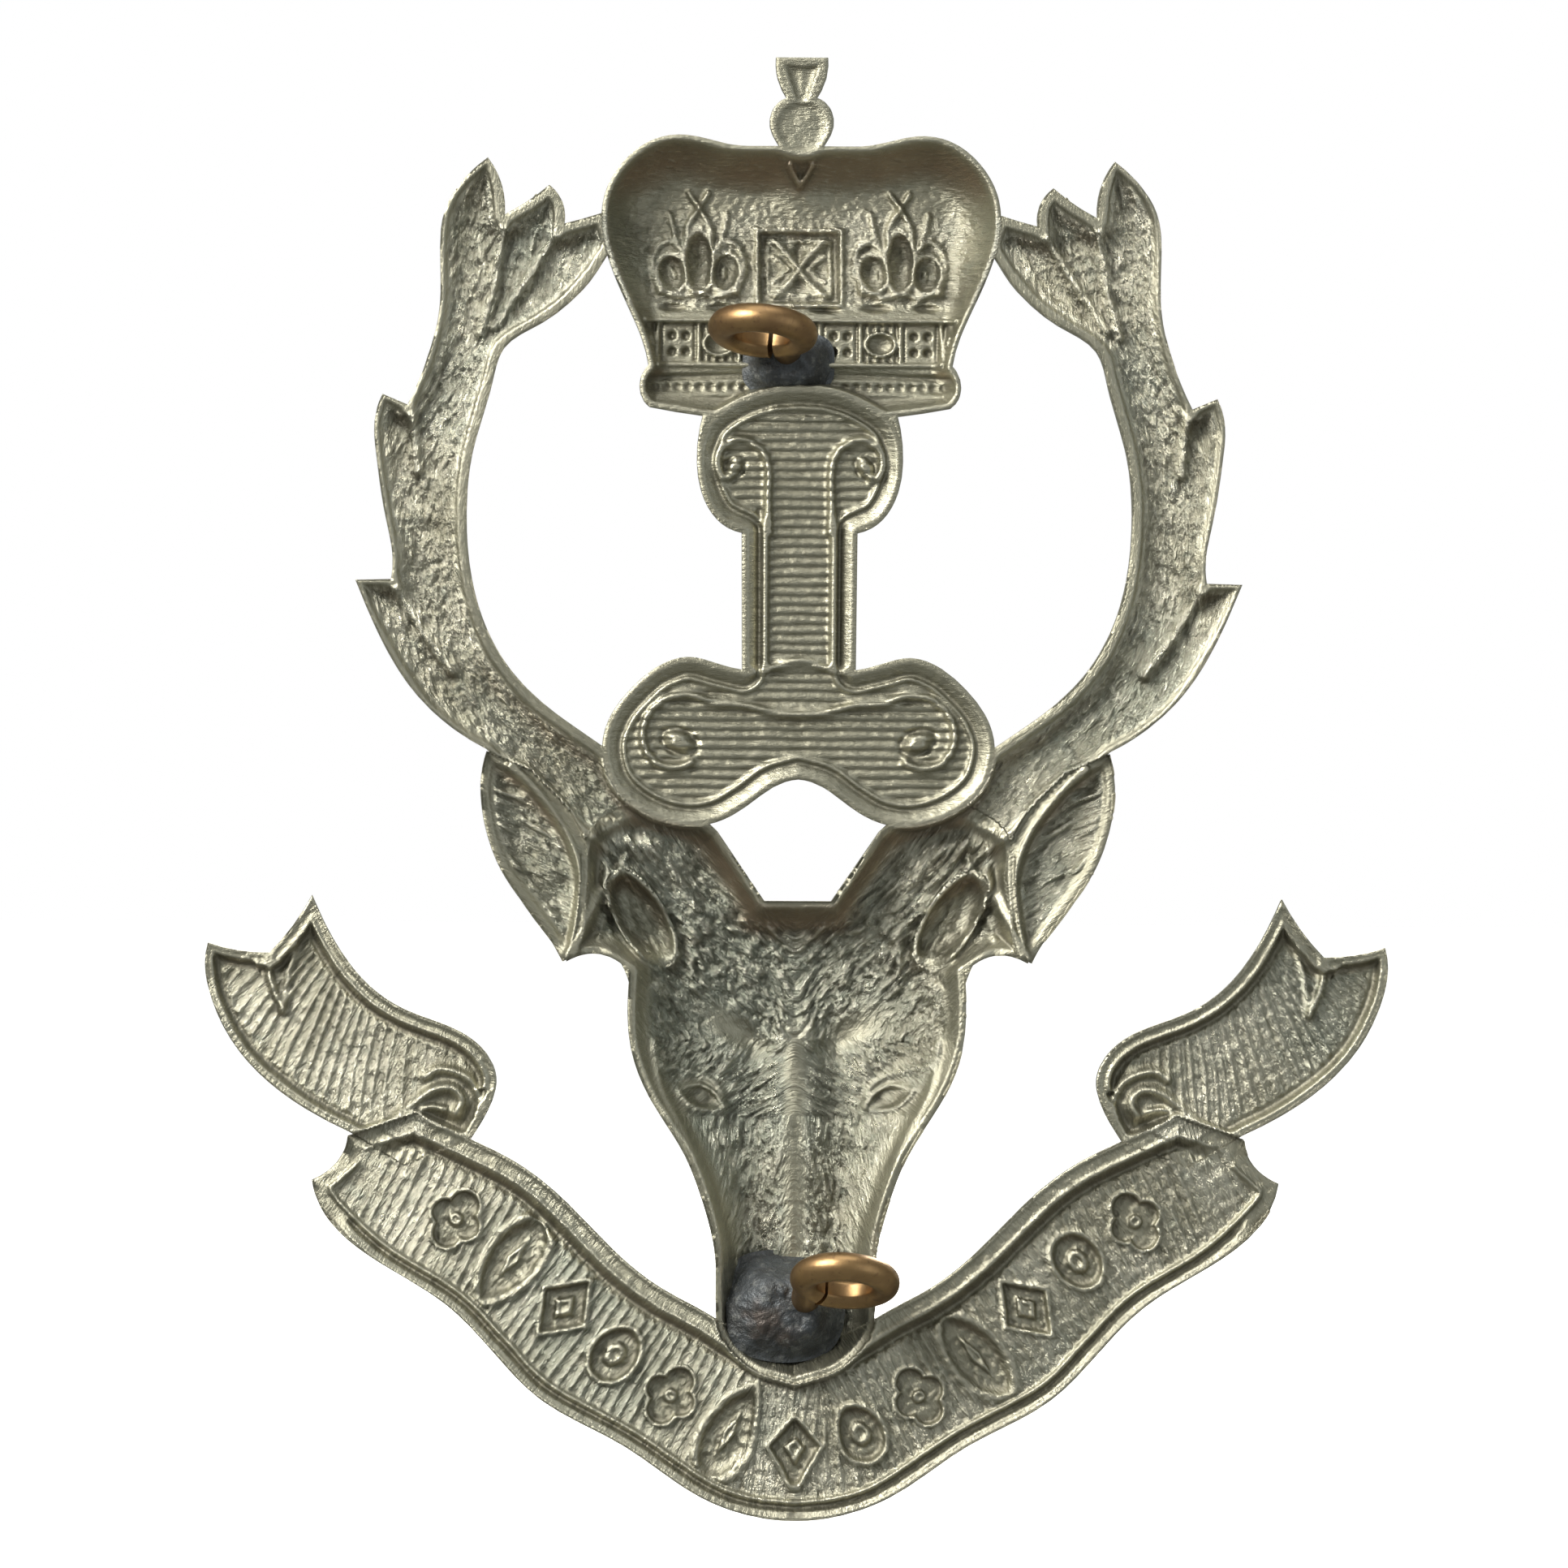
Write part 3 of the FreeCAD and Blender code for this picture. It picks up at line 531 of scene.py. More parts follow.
def ear_relief(r):
    z, a = r.z, r.a
    d = depth_in(a, z, EAR)
    h = 0.3 + 0.65 * bowl(d - 0.36, 1.3, 1.7)
    spine = [(11.9, -8.7), (11.35, -6.6), (11.25, -4.6), (12.1, -2.2), (13.6, -0.2), (14.9, 1.1)]
    off, _, side = from_line(a, z, curve(spine))
    h += 0.18 * ease(side / 0.8) * (d > 0)
    r.ridge(h, spine, 0.22, 0.5, d > 0)
    u = a * 0.86 + z * 0.5
    v = -a * 0.5 + z * 0.86
    leaf = ease((d - 0.55) / 0.3) * ease((off - 0.35) / 0.3)
    h += leaf * (0.24 * strokes(u / 0.75, v / 0.36, 41) + 0.05 * grain(u / 0.3, v / 0.16, 44))
    r.lay(d > 0, u, v, 0.3 + 0.6 * leaf)
    return np.where(d > 0, h, 0), d


MOTIF_STEP = 3.62  # length of band that one motif takes
MOTIFS_END = 23.4  # how far along the band the motifs go


def hatch(along, across, pitch, seed):
    """Uneven engraved lines that cross the band, between 0 and 1."""
    drift = (0.17 * grain(along * 0.8, across * 0.22, seed)
             + 0.03 * grain(along * 2.5, across * 0.6, seed + 1))
    wave = np.abs(np.sin(np.pi * (along + drift) / pitch)) ** 0.8
    extra = np.abs(np.sin(np.pi * (along + drift * 1.7) / (pitch * 0.53)))
    some = ease(grain(along * 0.7, across * 0.2, seed + 2) * 1.5 + 0.2)
    depth = 0.85 + 0.2 * grain(along * 1.6, across * 0.3, seed + 3)
    return (wave * (1 - 0.45 * some) + 0.45 * some * extra) * depth


def band_relief(r):
    x, z, a = r.x, r.z, r.a
    d = depth_in(x, z, BAND)
    _, along, side = from_line(a, z, BAND_MIDDLE)
    upper = side < 0
    end = ease((along - 25.6) / 1.8)
    rim = np.where(upper, 1.0 - 0.55 * end, 0.4)
    h = (0.45 * np.maximum(bowl(d - rim, 0.5, 1.8), end)
         + 0.12 * np.maximum(bowl(d - 0.12, 0.25), end))
    h += np.where(upper, 0.26 * rise(d - 1.45, 0.28), 0) * (1 - end)
    h += np.where(~upper, 0.22 * rise(d - 0.62, 0.13), 0) * (1 - end)
    h -= np.where(~upper, 0.26 * rise(d - 0.92, 0.12), 0)
    h -= np.where(upper, 0.12 * rise(d - 0.92, 0.14) * (d > 0.3), 0)
    field = ease((d - np.where(upper, 1.65 - 0.9 * end, 1.1)) / 0.2)
    half = np.sign(x + 1e-9)
    s = along * half
    lines = hatch(s + 0.1 * side * half, side, 0.56, 51)
    cell = (s + MOTIF_STEP / 2) % MOTIF_STEP - MOTIF_STEP / 2
    kind = np.floor((s + MOTIF_STEP / 2) / MOTIF_STEP).astype(int) % 4
    v = side + 0.12
    used = np.abs(s) < MOTIFS_END
    c = np.abs(cell)
    w = np.abs(v)
    lozenge = c / 1.35 + w / 1.85
    ring = np.hypot(c / 1.15, w / 1.5)
    leaf = np.hypot(c + 0.95, w * 0.72) / 2.15
    four = np.minimum(np.hypot(c - 0.62, w) / 0.72, np.hypot(c, w - 0.85) / 0.76)
    shape = np.choose(kind, [lozenge, ring, four, leaf])
    core = np.choose(kind, [lozenge * 2.1, ring * 2.0, np.hypot(c, w) / 0.4,
                            c / 0.34 + w / 1.5])
    plain = ease((np.where(used, shape, 9) - 1.1) / 0.1)
    h += field * 0.22 * lines * plain
    motif = used * field
    h += motif * 0.38 * bowl(1 - shape, 0.22)
    h -= motif * 0.17 * rise(shape - 1.09, 0.11)
    h -= motif * 0.34 * bowl(1 - core, 0.5)
    h += motif * 0.16 * bowl(0.5 - core, 0.4)
    h += motif * (1 - plain) * 0.05 * grain(x * 4.5, z * 4.5, 54)
    h += 0.045 * grain(x * 3.0, z * 3.0, 53) * ease((d - 0.2) / 0.3)
    # the fold where the tail turns behind
    r.ridge(h, [(20.0, -17.3), (19.3, -18.9), (20.2, -20.2)], 0.2, 0.12, d > 0.5)
    r.lay(d > 0, side, s, 0.35 + 0.35 * field * plain)
    return np.where(d > 0, h, 0), d


def tail_relief(r):
    x, z, a = r.x, r.z, r.a
    d = depth_in(a, z, TAIL)
    _, along, side = from_line(a, z, TAIL_MIDDLE)
    upper = side < 0
    rim = np.where(upper, 0.62, 0.36)
    h = 0.42 * bowl(d - rim, 0.5, 1.8) + 0.12 * bowl(d - 0.12, 0.25)
    h += np.where(upper, 0.22, 0.16) * rise(d - rim - 0.32, 0.2)
    h -= 0.16 * rise(d - rim - 0.02, 0.12) * (d > 0.15)
    half = np.sign(x + 1e-9)
    s = along * half
    turn = np.hypot((a - 17.5) / 1.9, (z + 16.0) / 1.6)
    field = ease((d - rim - 0.5) / 0.25) * ease((turn - 1.0) / 0.2)
    h += field * 0.24 * hatch(s + 0.22 * side * half, side, 0.58, 61)
    r.ridge(h, [(27.4, -8.6), (27.35, -10.0), (26.7, -11.6)], 0.2, 0.42)
    r.ridge(h, [(26.0, -8.2), (26.4, -9.6), (26.7, -11.6)], 0.16, 0.25)
    # the turn where the tail rolls under and comes out behind the band
    for line, width, height in (
            ([(16.5, -16.9), (16.6, -15.7), (17.4, -14.9), (18.6, -14.6), (19.3, -15.0)],
             0.24, 0.42),
            ([(21.4, -17.6), (20.0, -16.5), (18.9, -15.7), (17.9, -15.6), (17.4, -16.2),
              (17.7, -16.9)], 0.26, 0.5),
            ([(22.6, -17.9), (20.6, -17.4), (19.2, -16.6), (18.3, -16.7)], 0.2, 0.32)):
        r.ridge(h, line, width, height)
    h += 0.32 * rise(np.hypot((a - 18.4) / 0.7, (z + 17.4) / 0.45))
    h += 0.045 * grain(x * 3.0, z * 3.0, 63) * ease((d - 0.2) / 0.3)
    r.lay(d > 0, side, s, 0.35 + 0.35 * field)
    return np.where(d > 0, h, 0), d


CROWN_PART, ORNAMENT_PART, ANTLER_PART, HEAD_PART, EAR_PART, BAND_PART, TAIL_PART = range(7)


def cut_edge(gap, width):
    """How far the face drops beside a cut edge: 1 at the edge, 0 a width away from it."""
    return 1 - np.sqrt(np.clip(1 - np.clip(1 - gap / width, 0, 1) ** 2, 0, 1))


def back_depth(x, z, edge):
    """Depth of the back face everywhere, and which element each point belongs to."""
    r = Relief(x, z)
    antler, d_antler = antler_relief(r)
    head, d_head = head_relief(r)
    ear, d_ear = ear_relief(r)
    band, d_band = band_relief(r)
    tail, d_tail = tail_relief(r)
    ornament, d_orn = ornament_relief(r)
    crown, d_crown = crown_relief(r)
    finial, d_finial = finial_relief(r)
    lower = np.where(d_band > 0, band, np.where(d_tail > 0, tail * ease(-d_band / 0.3), 0))
    upper = np.where(d_ear > 0, ear, np.where(d_antler > 0, antler * ease(-d_ear / 0.3), 0))
    h = np.where((d_band > 0) | (d_tail > 0), lower * ease(-d_head / 0.35), upper)
    joined = smooth_max(head * ease(d_head / 0.4), antler, 0.3)
    h = np.where(d_head > 0, np.where(d_antler > 0, joined, head), h)
    h = np.where(d_crown > 0, crown, h * ease(-d_crown / 0.3))
    h = np.where(d_orn > 0, ornament, h * ease(-d_orn / 0.3))
    h = np.where(d_finial > 0, finial, h)
    # nothing stands behind the rim plane, and the cut edge is slightly rounded
    h = np.maximum(h, 0) + 0.07 * cut_edge(edge, 0.12)
    label = np.full(x.shape, BAND_PART)
    label[d_tail > 0] = TAIL_PART
    label[d_band > 0] = BAND_PART
    label[(d_antler > 0) & (z > -12)] = ANTLER_PART
    label[d_ear > 0] = EAR_PART
    label[d_head > 0] = HEAD_PART
    label[d_orn > 0] = ORNAMENT_PART
    label[(d_crown > -0.05) | (d_finial > -0.3)] = CROWN_PART
    return h, label, r


# ---- the struck sheet ------------------------------------------------------
CUT_LEVEL = 0.6      # depth at which the sheet's outline is read, in the middle of its cut edge
FRONT_LIMIT = 4.78   # just inside the front of the design
ROW_HEIGHT = 0.866   # between rows of points, for triangles with three like sides
CORNER = 0.35        # a turn in radians that counts as a corner of the outline
DENSE = 0.05         # spacing of the points that a distance to the cut edge is measured from
SOFT_PASSES = 14
OPENINGS = ((10.5, 13.0), (-10.5, 13.0), (0.0, -3.0))  # a point inside each opening


def edge_loops(node, y):
    """Closed lines where the plane at depth y cuts a CAD node, in millimetres."""
    work = bmesh.new()
    work.from_mesh(frame["nodes"][node].data)
    bmesh.ops.remove_doubles(work, verts=work.verts, dist=1e-8)
    geometry = work.verts[:] + work.edges[:] + work.faces[:]
    bmesh.ops.bisect_plane(work, geom=geometry, plane_co=(0, y * MM, 0), plane_no=(0, 1, 0),
                           clear_inner=True, clear_outer=True)
    bmesh.ops.remove_doubles(work, verts=work.verts, dist=1e-7)
    left = set(work.verts)
    loops = []
    while left:
        here = left.pop()
        chain = [here]
        while True:
            after = [e.other_vert(here) for e in here.link_edges if e.other_vert(here) in left]
            if not after:
                break
            here = after[0]
            left.discard(here)
            chain.append(here)
        if len(chain) > 8:
            loops.append(np.array([(v.co.x, v.co.z) for v in chain]) / MM)
    work.free()
    return loops


def respaced(loop, step):
    """The same closed line with its corners kept and points about step apart."""
    ahead = np.roll(loop, -1, axis=0) - loop
    behind = loop - np.roll(loop, 1, axis=0)
    ahead, behind = (v[:, 0] + 1j * v[:, 1] for v in (ahead, behind))
    corners = np.flatnonzero(np.abs(np.angle(ahead / (behind + 1e-12))) > CORNER)
    if len(corners) < 2:
        corners = np.array([0, len(loop) // 2])
    out = []
    for k, start in enumerate(corners):
        stop = corners[(k + 1) % len(corners)]
        part = loop[np.r_[start:stop + 1] if stop > start else np.r_[start:len(loop), 0:stop + 1]]
        length = np.r_[0, np.cumsum(np.hypot(*np.diff(part, axis=0).T))]
        count = max(1, int(round(length[-1] / step)))
        at = np.linspace(0, length[-1], count, endpoint=False)
        out.append(np.c_[np.interp(at, length, part[:, 0]), np.interp(at, length, part[:, 1])])
    return np.vstack(out)


def sheet_edges():
    """The sheet's outer edge and the edges of its openings, as closed lines."""
    loops = edge_loops("badge_plate", CUT_LEVEL)
    loops.sort(key=lambda l: -np.ptp(l[:, 0]) * np.ptp(l[:, 1]))
    x, z = np.array(OPENINGS).T
    edges = loops[:1] + [loop for loop in loops[1:] if inside(x, z, loop).any()]
    if len(edges) != 1 + len(OPENINGS):
        raise RuntimeError("the sheet should have four edges, not %d" % len(edges))
    return edges


def spread(edges, step):
    """Points a step apart inside the edges, and the distance from each to the nearest edge."""
    low, high = edges[0].min(axis=0), edges[0].max(axis=0)
    rows = np.arange(low[1], high[1], step * ROW_HEIGHT)
    x, z = np.meshgrid(np.arange(low[0], high[0], step), rows)
    x = x + (np.arange(len(rows))[:, None] % 2) * step / 2
    x, z = x.ravel(), z.ravel()
    held = inside(x, z, *edges)
    x, z = x[held], z[held]
    dense = np.vstack([respaced(loop, DENSE) for loop in edges])
    tree = kdtree.KDTree(len(dense))
    for i, p in enumerate(dense):
        tree.insert((p[0], p[1], 0), i)
    tree.balance()
    gap = np.array([tree.find((p, q, 0))[2] for p, q in zip(x, z)])
    clear = gap > step * 0.5
    return np.c_[x, z][clear], gap[clear]


def triangulated(edges, points, gap):
    """The flat sheet as points, triangles that face one way, and each point's edge distance."""
    rim = np.vstack(edges)
    links = []
    for loop in edges:
        first = len(links)
        links += [(first + i, first + (i + 1) % len(loop)) for i in range(len(loop))]
    flat = [Vector(p) for p in np.vstack([rim, points])]
    got, _, faces, source, _, _ = delaunay_2d_cdt(flat, links, [], 0, 1e-7)
    points = np.array([tuple(p) for p in got])
    gap = np.r_[np.zeros(len(rim)), gap]
    gap = np.array([gap[s[0]] if s else 0.0 for s in source])
    faces = np.array([f for f in faces if len(f) == 3])
    middle = points[faces].mean(axis=1)
    faces = faces[inside(middle[:, 0], middle[:, 1], *edges)]
    wrong_way = doubled_area(points, faces) < 0
    faces[wrong_way] = faces[wrong_way][:, ::-1]
    return points, faces, gap


def softened(h, faces):
    """The same depths with their fine detail smoothed away."""
    soft = h.copy()
    ends = sides_of(faces)
    weight = np.bincount(ends.ravel(), minlength=len(h)).astype(float)
    for _ in range(SOFT_PASSES):
        total = (np.bincount(ends[:, 0], soft[ends[:, 1]], len(h))
                 + np.bincount(ends[:, 1], soft[ends[:, 0]], len(h)))
        soft = 0.3 * soft + 0.7 * total / weight
    return soft


SHEET = {}


def struck_sheet(sizes):
    """The whole sheet as one triangulation: points, back and front depth, and labels."""
    if SHEET:
        return SHEET
    step = sizes.mesh_step / MM
    edges = [respaced(loop, step * 0.9) for loop in sheet_edges()]
    points, faces, gap = triangulated(edges, *spread(edges, step))
    back, label, marks = back_depth(points[:, 0], points[:, 1], gap)
    soft = softened(back, faces)
    front = np.minimum(soft * 0.3 + back * 0.7 + sizes.sheet / MM, FRONT_LIMIT)
    front -= 0.14 * cut_edge(gap, 0.2)
    SHEET.update(points=points, faces=faces, back=back, front=front, cavity=back - soft,
                 hollow=soft, slope=steepness(points, faces, soft), coat=marks.coat,
                 flow=np.c_[marks.u, marks.v, gap],
                 label=np.array([np.bincount(label[f]).argmax() for f in faces]))
    return SHEET


def sides_of(faces):
    """The two ends of every triangle's three sides."""
    return np.vstack([faces[:, [0, 1]], faces[:, [1, 2]], faces[:, [2, 0]]])


def doubled_area(points, faces):
    """Twice each triangle's area, below zero where its corners run clockwise."""
    a, b, c = (points[faces[:, k]] for k in range(3))
    return (b[:, 0] - a[:, 0]) * (c[:, 1] - a[:, 1]) - (b[:, 1] - a[:, 1]) * (c[:, 0] - a[:, 0])


def steepness(points, faces, h):
    """How fast the depth grows downwards at each point."""
    xa, xb, xc = (points[faces[:, k], 0] for k in range(3))
    ha, hb, hc = (h[faces[:, k]] for k in range(3))
    area = doubled_area(points, faces)
    dz = ((hc - ha) * (xb - xa) - (hb - ha) * (xc - xa)) / np.where(area == 0, 1, area)
    total = np.zeros(len(points))
    count = np.zeros(len(points))
    for k in range(3):
        total += np.bincount(faces[:, k], dz, len(points))
        count += np.bincount(faces[:, k], minlength=len(points))
    return -total / np.maximum(count, 1)


def struck_piece(name, part, half, sizes):
    """One element of the sheet as a closed mesh with a back, a front and cut walls.

    half is -1 or 1 for the part of the element on that side of the middle, or 0 for all of it.
    """
    s = struck_sheet(sizes)
    chosen = s["label"] == part
    if half:
        chosen &= s["points"][s["faces"]].mean(axis=1)[:, 0] * half > 0
    tri = s["faces"][chosen]
    used, flat = np.unique(tri, return_inverse=True)
    tri = flat.reshape(-1, 3)
    n = len(used)
    x, z = s["points"][used].T
    co = np.empty((2 * n, 3))
    co[:n] = np.c_[x, s["back"][used], z]
    co[n:] = np.c_[x, s["front"][used], z]
    ends = sides_of(tri)
    key = np.sort(ends, axis=1)
    code = key[:, 0].astype(np.int64) * n + key[:, 1]
    _, first, count = np.unique(code, return_index=True, return_counts=True)
    rim = ends[first[count == 1]]
    wall = np.c_[rim[:, 1], rim[:, 0], rim[:, 0] + n, rim[:, 1] + n]
    mesh = bpy.data.meshes.new(name)
    mesh.vertices.add(2 * n)
    mesh.vertices.foreach_set("co", (co * MM).ravel())
    corners = np.concatenate([tri.ravel(), (tri[:, ::-1] + n).ravel(), wall.ravel()])
    mesh.loops.add(len(corners))
    mesh.loops.foreach_set("vertex_index", corners)
    starts = np.r_[np.arange(0, 6 * len(tri), 3), 6 * len(tri) + 4 * np.arange(len(wall))]
    mesh.polygons.add(len(starts))
    mesh.polygons.foreach_set("loop_start", starts)
    mesh.update(calc_edges=True)
    mesh.polygons.foreach_set("use_smooth", np.arange(len(starts)) < 2 * len(tri))
    sides = np.zeros(len(mesh.edges) * 2, np.int32)
    mesh.edges.foreach_get("vertices", sides)
    sides = np.sort(sides.reshape(-1, 2), axis=1)
    rim = np.sort(rim, axis=1)
    hard = set(map(tuple, np.vstack([rim, rim + n])))
    mesh.edges.foreach_set("use_edge_sharp", [tuple(e) in hard for e in sides])
    # a line sunk into the back stands up on the front, so the cavity changes sign there
    for attribute, sign in (("cavity", -1), ("hollow", 1), ("slope", 1), ("coat", 1)):
        values = s[attribute][used]
        layer = mesh.attributes.new(attribute, "FLOAT", "POINT")
        layer.data.foreach_set("value", np.r_[values, sign * values])
    layer = mesh.attributes.new("flow", "FLOAT_VECTOR", "POINT")
    layer.data.foreach_set("vector", np.tile(s["flow"][used], (2, 1)).ravel())
    mesh.validate()
    piece = bpy.data.objects.new(name, mesh)
    bpy.context.scene.collection.objects.link(piece)
    finish(piece, "white_metal", "badge_plate")


def finish(piece, slot, replaced):
    """Colour a piece with its slot's material, fix it to the root body and hide the node it
    replaces.
    """
    piece.data.materials.clear()
    piece.data.materials.append(material(slot))
    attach(piece, "root")
    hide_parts(replaced)


# ---- finishes ----------------------------------------------------------------
class Paint:
    """Adds nodes to a material or a world."""

    def __init__(self, tree):
        self.tree = tree

    def plug(self, made, inputs):
        """Link or set a node's inputs, each given by its name or its number."""
        for key, value in inputs.items():
            if isinstance(value, bpy.types.NodeSocket):
                self.tree.links.new(value, made.inputs[key])
            else:
                made.inputs[key].default_value = value

    def node(self, kind, inputs=None, **settings):
        made = self.tree.nodes.new(kind)
        for key, value in settings.items():
            setattr(made, key, value)
        self.plug(made, inputs or {})
        return made

    def ramp(self, value, low, high, a=0.0, b=1.0):
        """a where the value is low, b where it is high."""
        return self.node("ShaderNodeMapRange", {"Value": value, "From Min": low, "From Max": high,
                                                "To Min": a, "To Max": b}).outputs["Result"]

    def blend(self, factor, first, second):
        """Mix two colours; 6 and 7 are the mix node's colour inputs."""
        first, second = (v if isinstance(v, bpy.types.NodeSocket) else (*v[:3], 1)
                         for v in (first, second))
        return self.node("ShaderNodeMix", {0: factor, 6: first, 7: second},
                         data_type="RGBA").outputs[2]

    def add(self, a, b):
        return self.node("ShaderNodeMath", {0: a, 1: b}, operation="ADD").outputs[0]

    def times(self, a, b):
        return self.node("ShaderNodeMath", {0: a, 1: b}, operation="MULTIPLY").outputs[0]

    def noise(self, vector, scale, detail=3.0, rough=0.6, stretch=None):
        if stretch:
            vector = self.node("ShaderNodeMapping", {"Vector": vector, "Scale": stretch}).outputs[0]
        return self.node("ShaderNodeTexNoise", {"Vector": vector, "Scale": scale, "Detail": detail,
                                                "Roughness": rough}).outputs["Fac"]

    def attribute(self, name, output="Fac"):
        return self.node("ShaderNodeAttribute", attribute_name=name).outputs[output]

    def surface(self, inputs, height=None, strength=0.0, distance=0.0):
        """Set the surface, and bump it by a height where one is given."""
        if height is not None:
            bump = self.node("ShaderNodeBump", {"Height": height, "Strength": strength,
                                                "Distance": distance})
            inputs["Normal"] = bump.outputs["Normal"]
        self.plug(self.tree.nodes["Principled BSDF"], inputs)


def white_metal(p, place, c):
    """Struck nickel silver: pale on the ridges, grey-green in the field, brown in the hollows, with
    painted shade on the deep walls that face down.
    """
    cavity, hollow, slope, coat = (p.attribute(n) for n in ("cavity", "hollow", "slope", "coat"))
    cloud = p.noise(place, 210.0, 5.0)
    patch = p.noise(place, 62.0)
    speck = p.noise(place, 1500.0, 4.0, 0.7)
    pits = p.noise(place, 2600.0, 4.0, 0.7)
    mottle = p.noise(place, 900.0, 4.0, 0.66)
    marks = p.noise(p.attribute("flow", "Vector"), 2.4, 4.0, 0.66, stretch=(0.7, 2.6, 0.5))
    # the metal itself: clean, dulled, filmed over
    colour = p.blend(p.ramp(cloud, 0.35, 0.65), c.metal, c.metal_dull)
    colour = p.blend(p.ramp(patch, 0.46, 0.66, 0.0, 0.65), colour, c.verdigris)
    colour = p.blend(p.ramp(mottle, 0.45, 0.3, 0.0, 0.5), colour, c.verdigris)
    colour = p.blend(p.ramp(mottle, 0.55, 0.7, 0.0, 0.45), colour, c.ridge)
    colour = p.blend(p.ramp(coat, 0.8, 0.3, 0.0, 0.9), colour, c.metal_dull)
    # painted shade with tarnish: brown darkens the deep walls that face down, away from the light
    # above
    brown = p.times(p.ramp(slope, 0.25, 1.1), p.ramp(hollow, 0.12, 0.75))
    brown = p.times(brown, p.ramp(cloud, 0.2, 0.6, 0.4, 0.85))
    colour = p.blend(brown, colour, c.tarnish_and_shade)
    # darker colour laid into the sunk marks and lines, and bright metal where they stand up
    strength = p.ramp(coat, 0.2, 0.8, 0.35, 1.0)
    colour = p.blend(p.times(p.ramp(marks, 0.46, 0.3, 0.0, 0.4), strength), colour, c.sunk_dark)
    colour = p.blend(p.ramp(cavity, 0.015, 0.14, 0.0, 0.55), colour, c.sunk_dark)
    high = p.add(p.ramp(cavity, -0.02, -0.12, 0.0, 0.3), p.ramp(marks, 0.56, 0.7, 0.0, 0.5))
    high = p.times(high, p.ramp(coat, 0.3, 0.9, 0.35, 1.0))
    colour = p.blend(high, colour, c.ridge)
    rough = p.add(p.ramp(cloud, 0.3, 0.7, 0.27, 0.42), p.ramp(speck, 0.3, 0.7, -0.05, 0.07))
    rough = p.add(rough, p.ramp(cavity, 0.0, 0.15, 0.0, 0.14))
    rough = p.add(rough, p.ramp(coat, 0.95, 0.3, -0.05, 0.07))
    fine = p.times(p.add(marks, p.times(pits, 0.45)), coat)
    p.surface({"Base Color": colour, "Metallic": 1.0, "Roughness": rough}, fine, 1.0, 0.00027)


def loop_wire(p, place, c):
    """Handled copper wire: brown in the shade, brassy where it is rubbed."""
    cloud = p.noise(place, 380.0, 4.0)
    drawn = p.noise(place, 900.0, stretch=(0.35, 0.35, 3.0))
    speck = p.noise(place, 2600.0)
    colour = p.blend(p.ramp(cloud, 0.38, 0.66), c.wire, c.wire_dull)
    colour = p.blend(p.ramp(speck, 0.58, 0.74, 0.0, 0.6), colour, c.wire_dark)
    rough = p.ramp(cloud, 0.3, 0.7, 0.36, 0.52)
    height = p.add(drawn, p.times(speck, 0.6))
    p.surface({"Base Color": colour, "Metallic": 1.0, "Roughness": rough}, height, 0.35, 0.00004)


def solder_metal(p, place, c):
    """Dark soft solder, sooty from the flux, bluish where it was smooth."""
    cloud = p.noise(place, 620.0, 5.0, 0.68)
    patch = p.noise(place, 1500.0, 4.0, 0.7)
    rust = p.noise(place, 300.0)
    colour = p.blend(p.ramp(cloud, 0.38, 0.6), c.solder, c.solder_blue)
    colour = p.blend(p.ramp(rust, 0.56, 0.7, 0.0, 0.6), colour, c.solder_brown)
    colour = p.blend(p.ramp(patch, 0.55, 0.72, 0.0, 0.6), colour, c.solder_light)
    metallic = p.ramp(cloud, 0.35, 0.65, 0.35, 0.8)
    rough = p.ramp(patch, 0.3, 0.7, 0.42, 0.66)
    p.surface({"Base Color": colour, "Metallic": metallic, "Roughness": rough},
              p.add(cloud, patch), 0.8, 0.00022)


def pale_floor(p, place, c):
    """Paper that gives off a little light, so that it stays pale under the badge."""
    shade = p.blend(p.ramp(p.noise(place, 30.0), 0.3, 0.7, 0.0, 0.3), c.floor, (0.93, 0.93, 0.93))
    p.surface({"Base Color": shade, "Emission Color": shade, "Emission Strength": 0.95,
               "Roughness": 0.9})


MATERIALS = {
    "white_metal": ("struck nickel silver", white_metal),
    "loop_wire": ("copper loop wire", loop_wire),
    "solder": ("soft solder", solder_metal),
    "floor": ("pale paper floor", pale_floor),
}


def material(slot):
    """A slot's material, made the first time it is asked for."""
    name, build = MATERIALS[slot]
    made = bpy.data.materials.get(name)
    if made is None:
        made = bpy.data.materials.new(name)
        made.use_nodes = True
        paint = Paint(made.node_tree)
        place = paint.node("ShaderNodeTexCoord").outputs["Object"]
        build(paint, place, bpy.context.scene.badge_colours)
    return made


# ---- sizes and colours -----------------------------------------------------
def length(label, text, default):
    return bpy.props.FloatProperty(name=label, description=text, default=default, unit="LENGTH",
                                   precision=5, min=0.00001)


def tint(label, text, default):
    return bpy.props.FloatVectorProperty(name=label, description=text, default=default, size=3,
                                         subtype="COLOR", min=0.0, max=1.0)


class BadgeSizes(bpy.types.PropertyGroup):
    sheet: length("Sheet", "Thickness of the struck sheet", 0.0009)
    mesh_step: length("Mesh step", "Distance between points of the struck surface", 0.0001)
    wire: length("Wire", "Diameter of the loop wire", 0.0015)
    ring: length("Ring", "Diameter of a loop along the middle of its wire", 0.0042)
    land: length("Land", "Depth of the flat worn inside a loop", 0.0001)


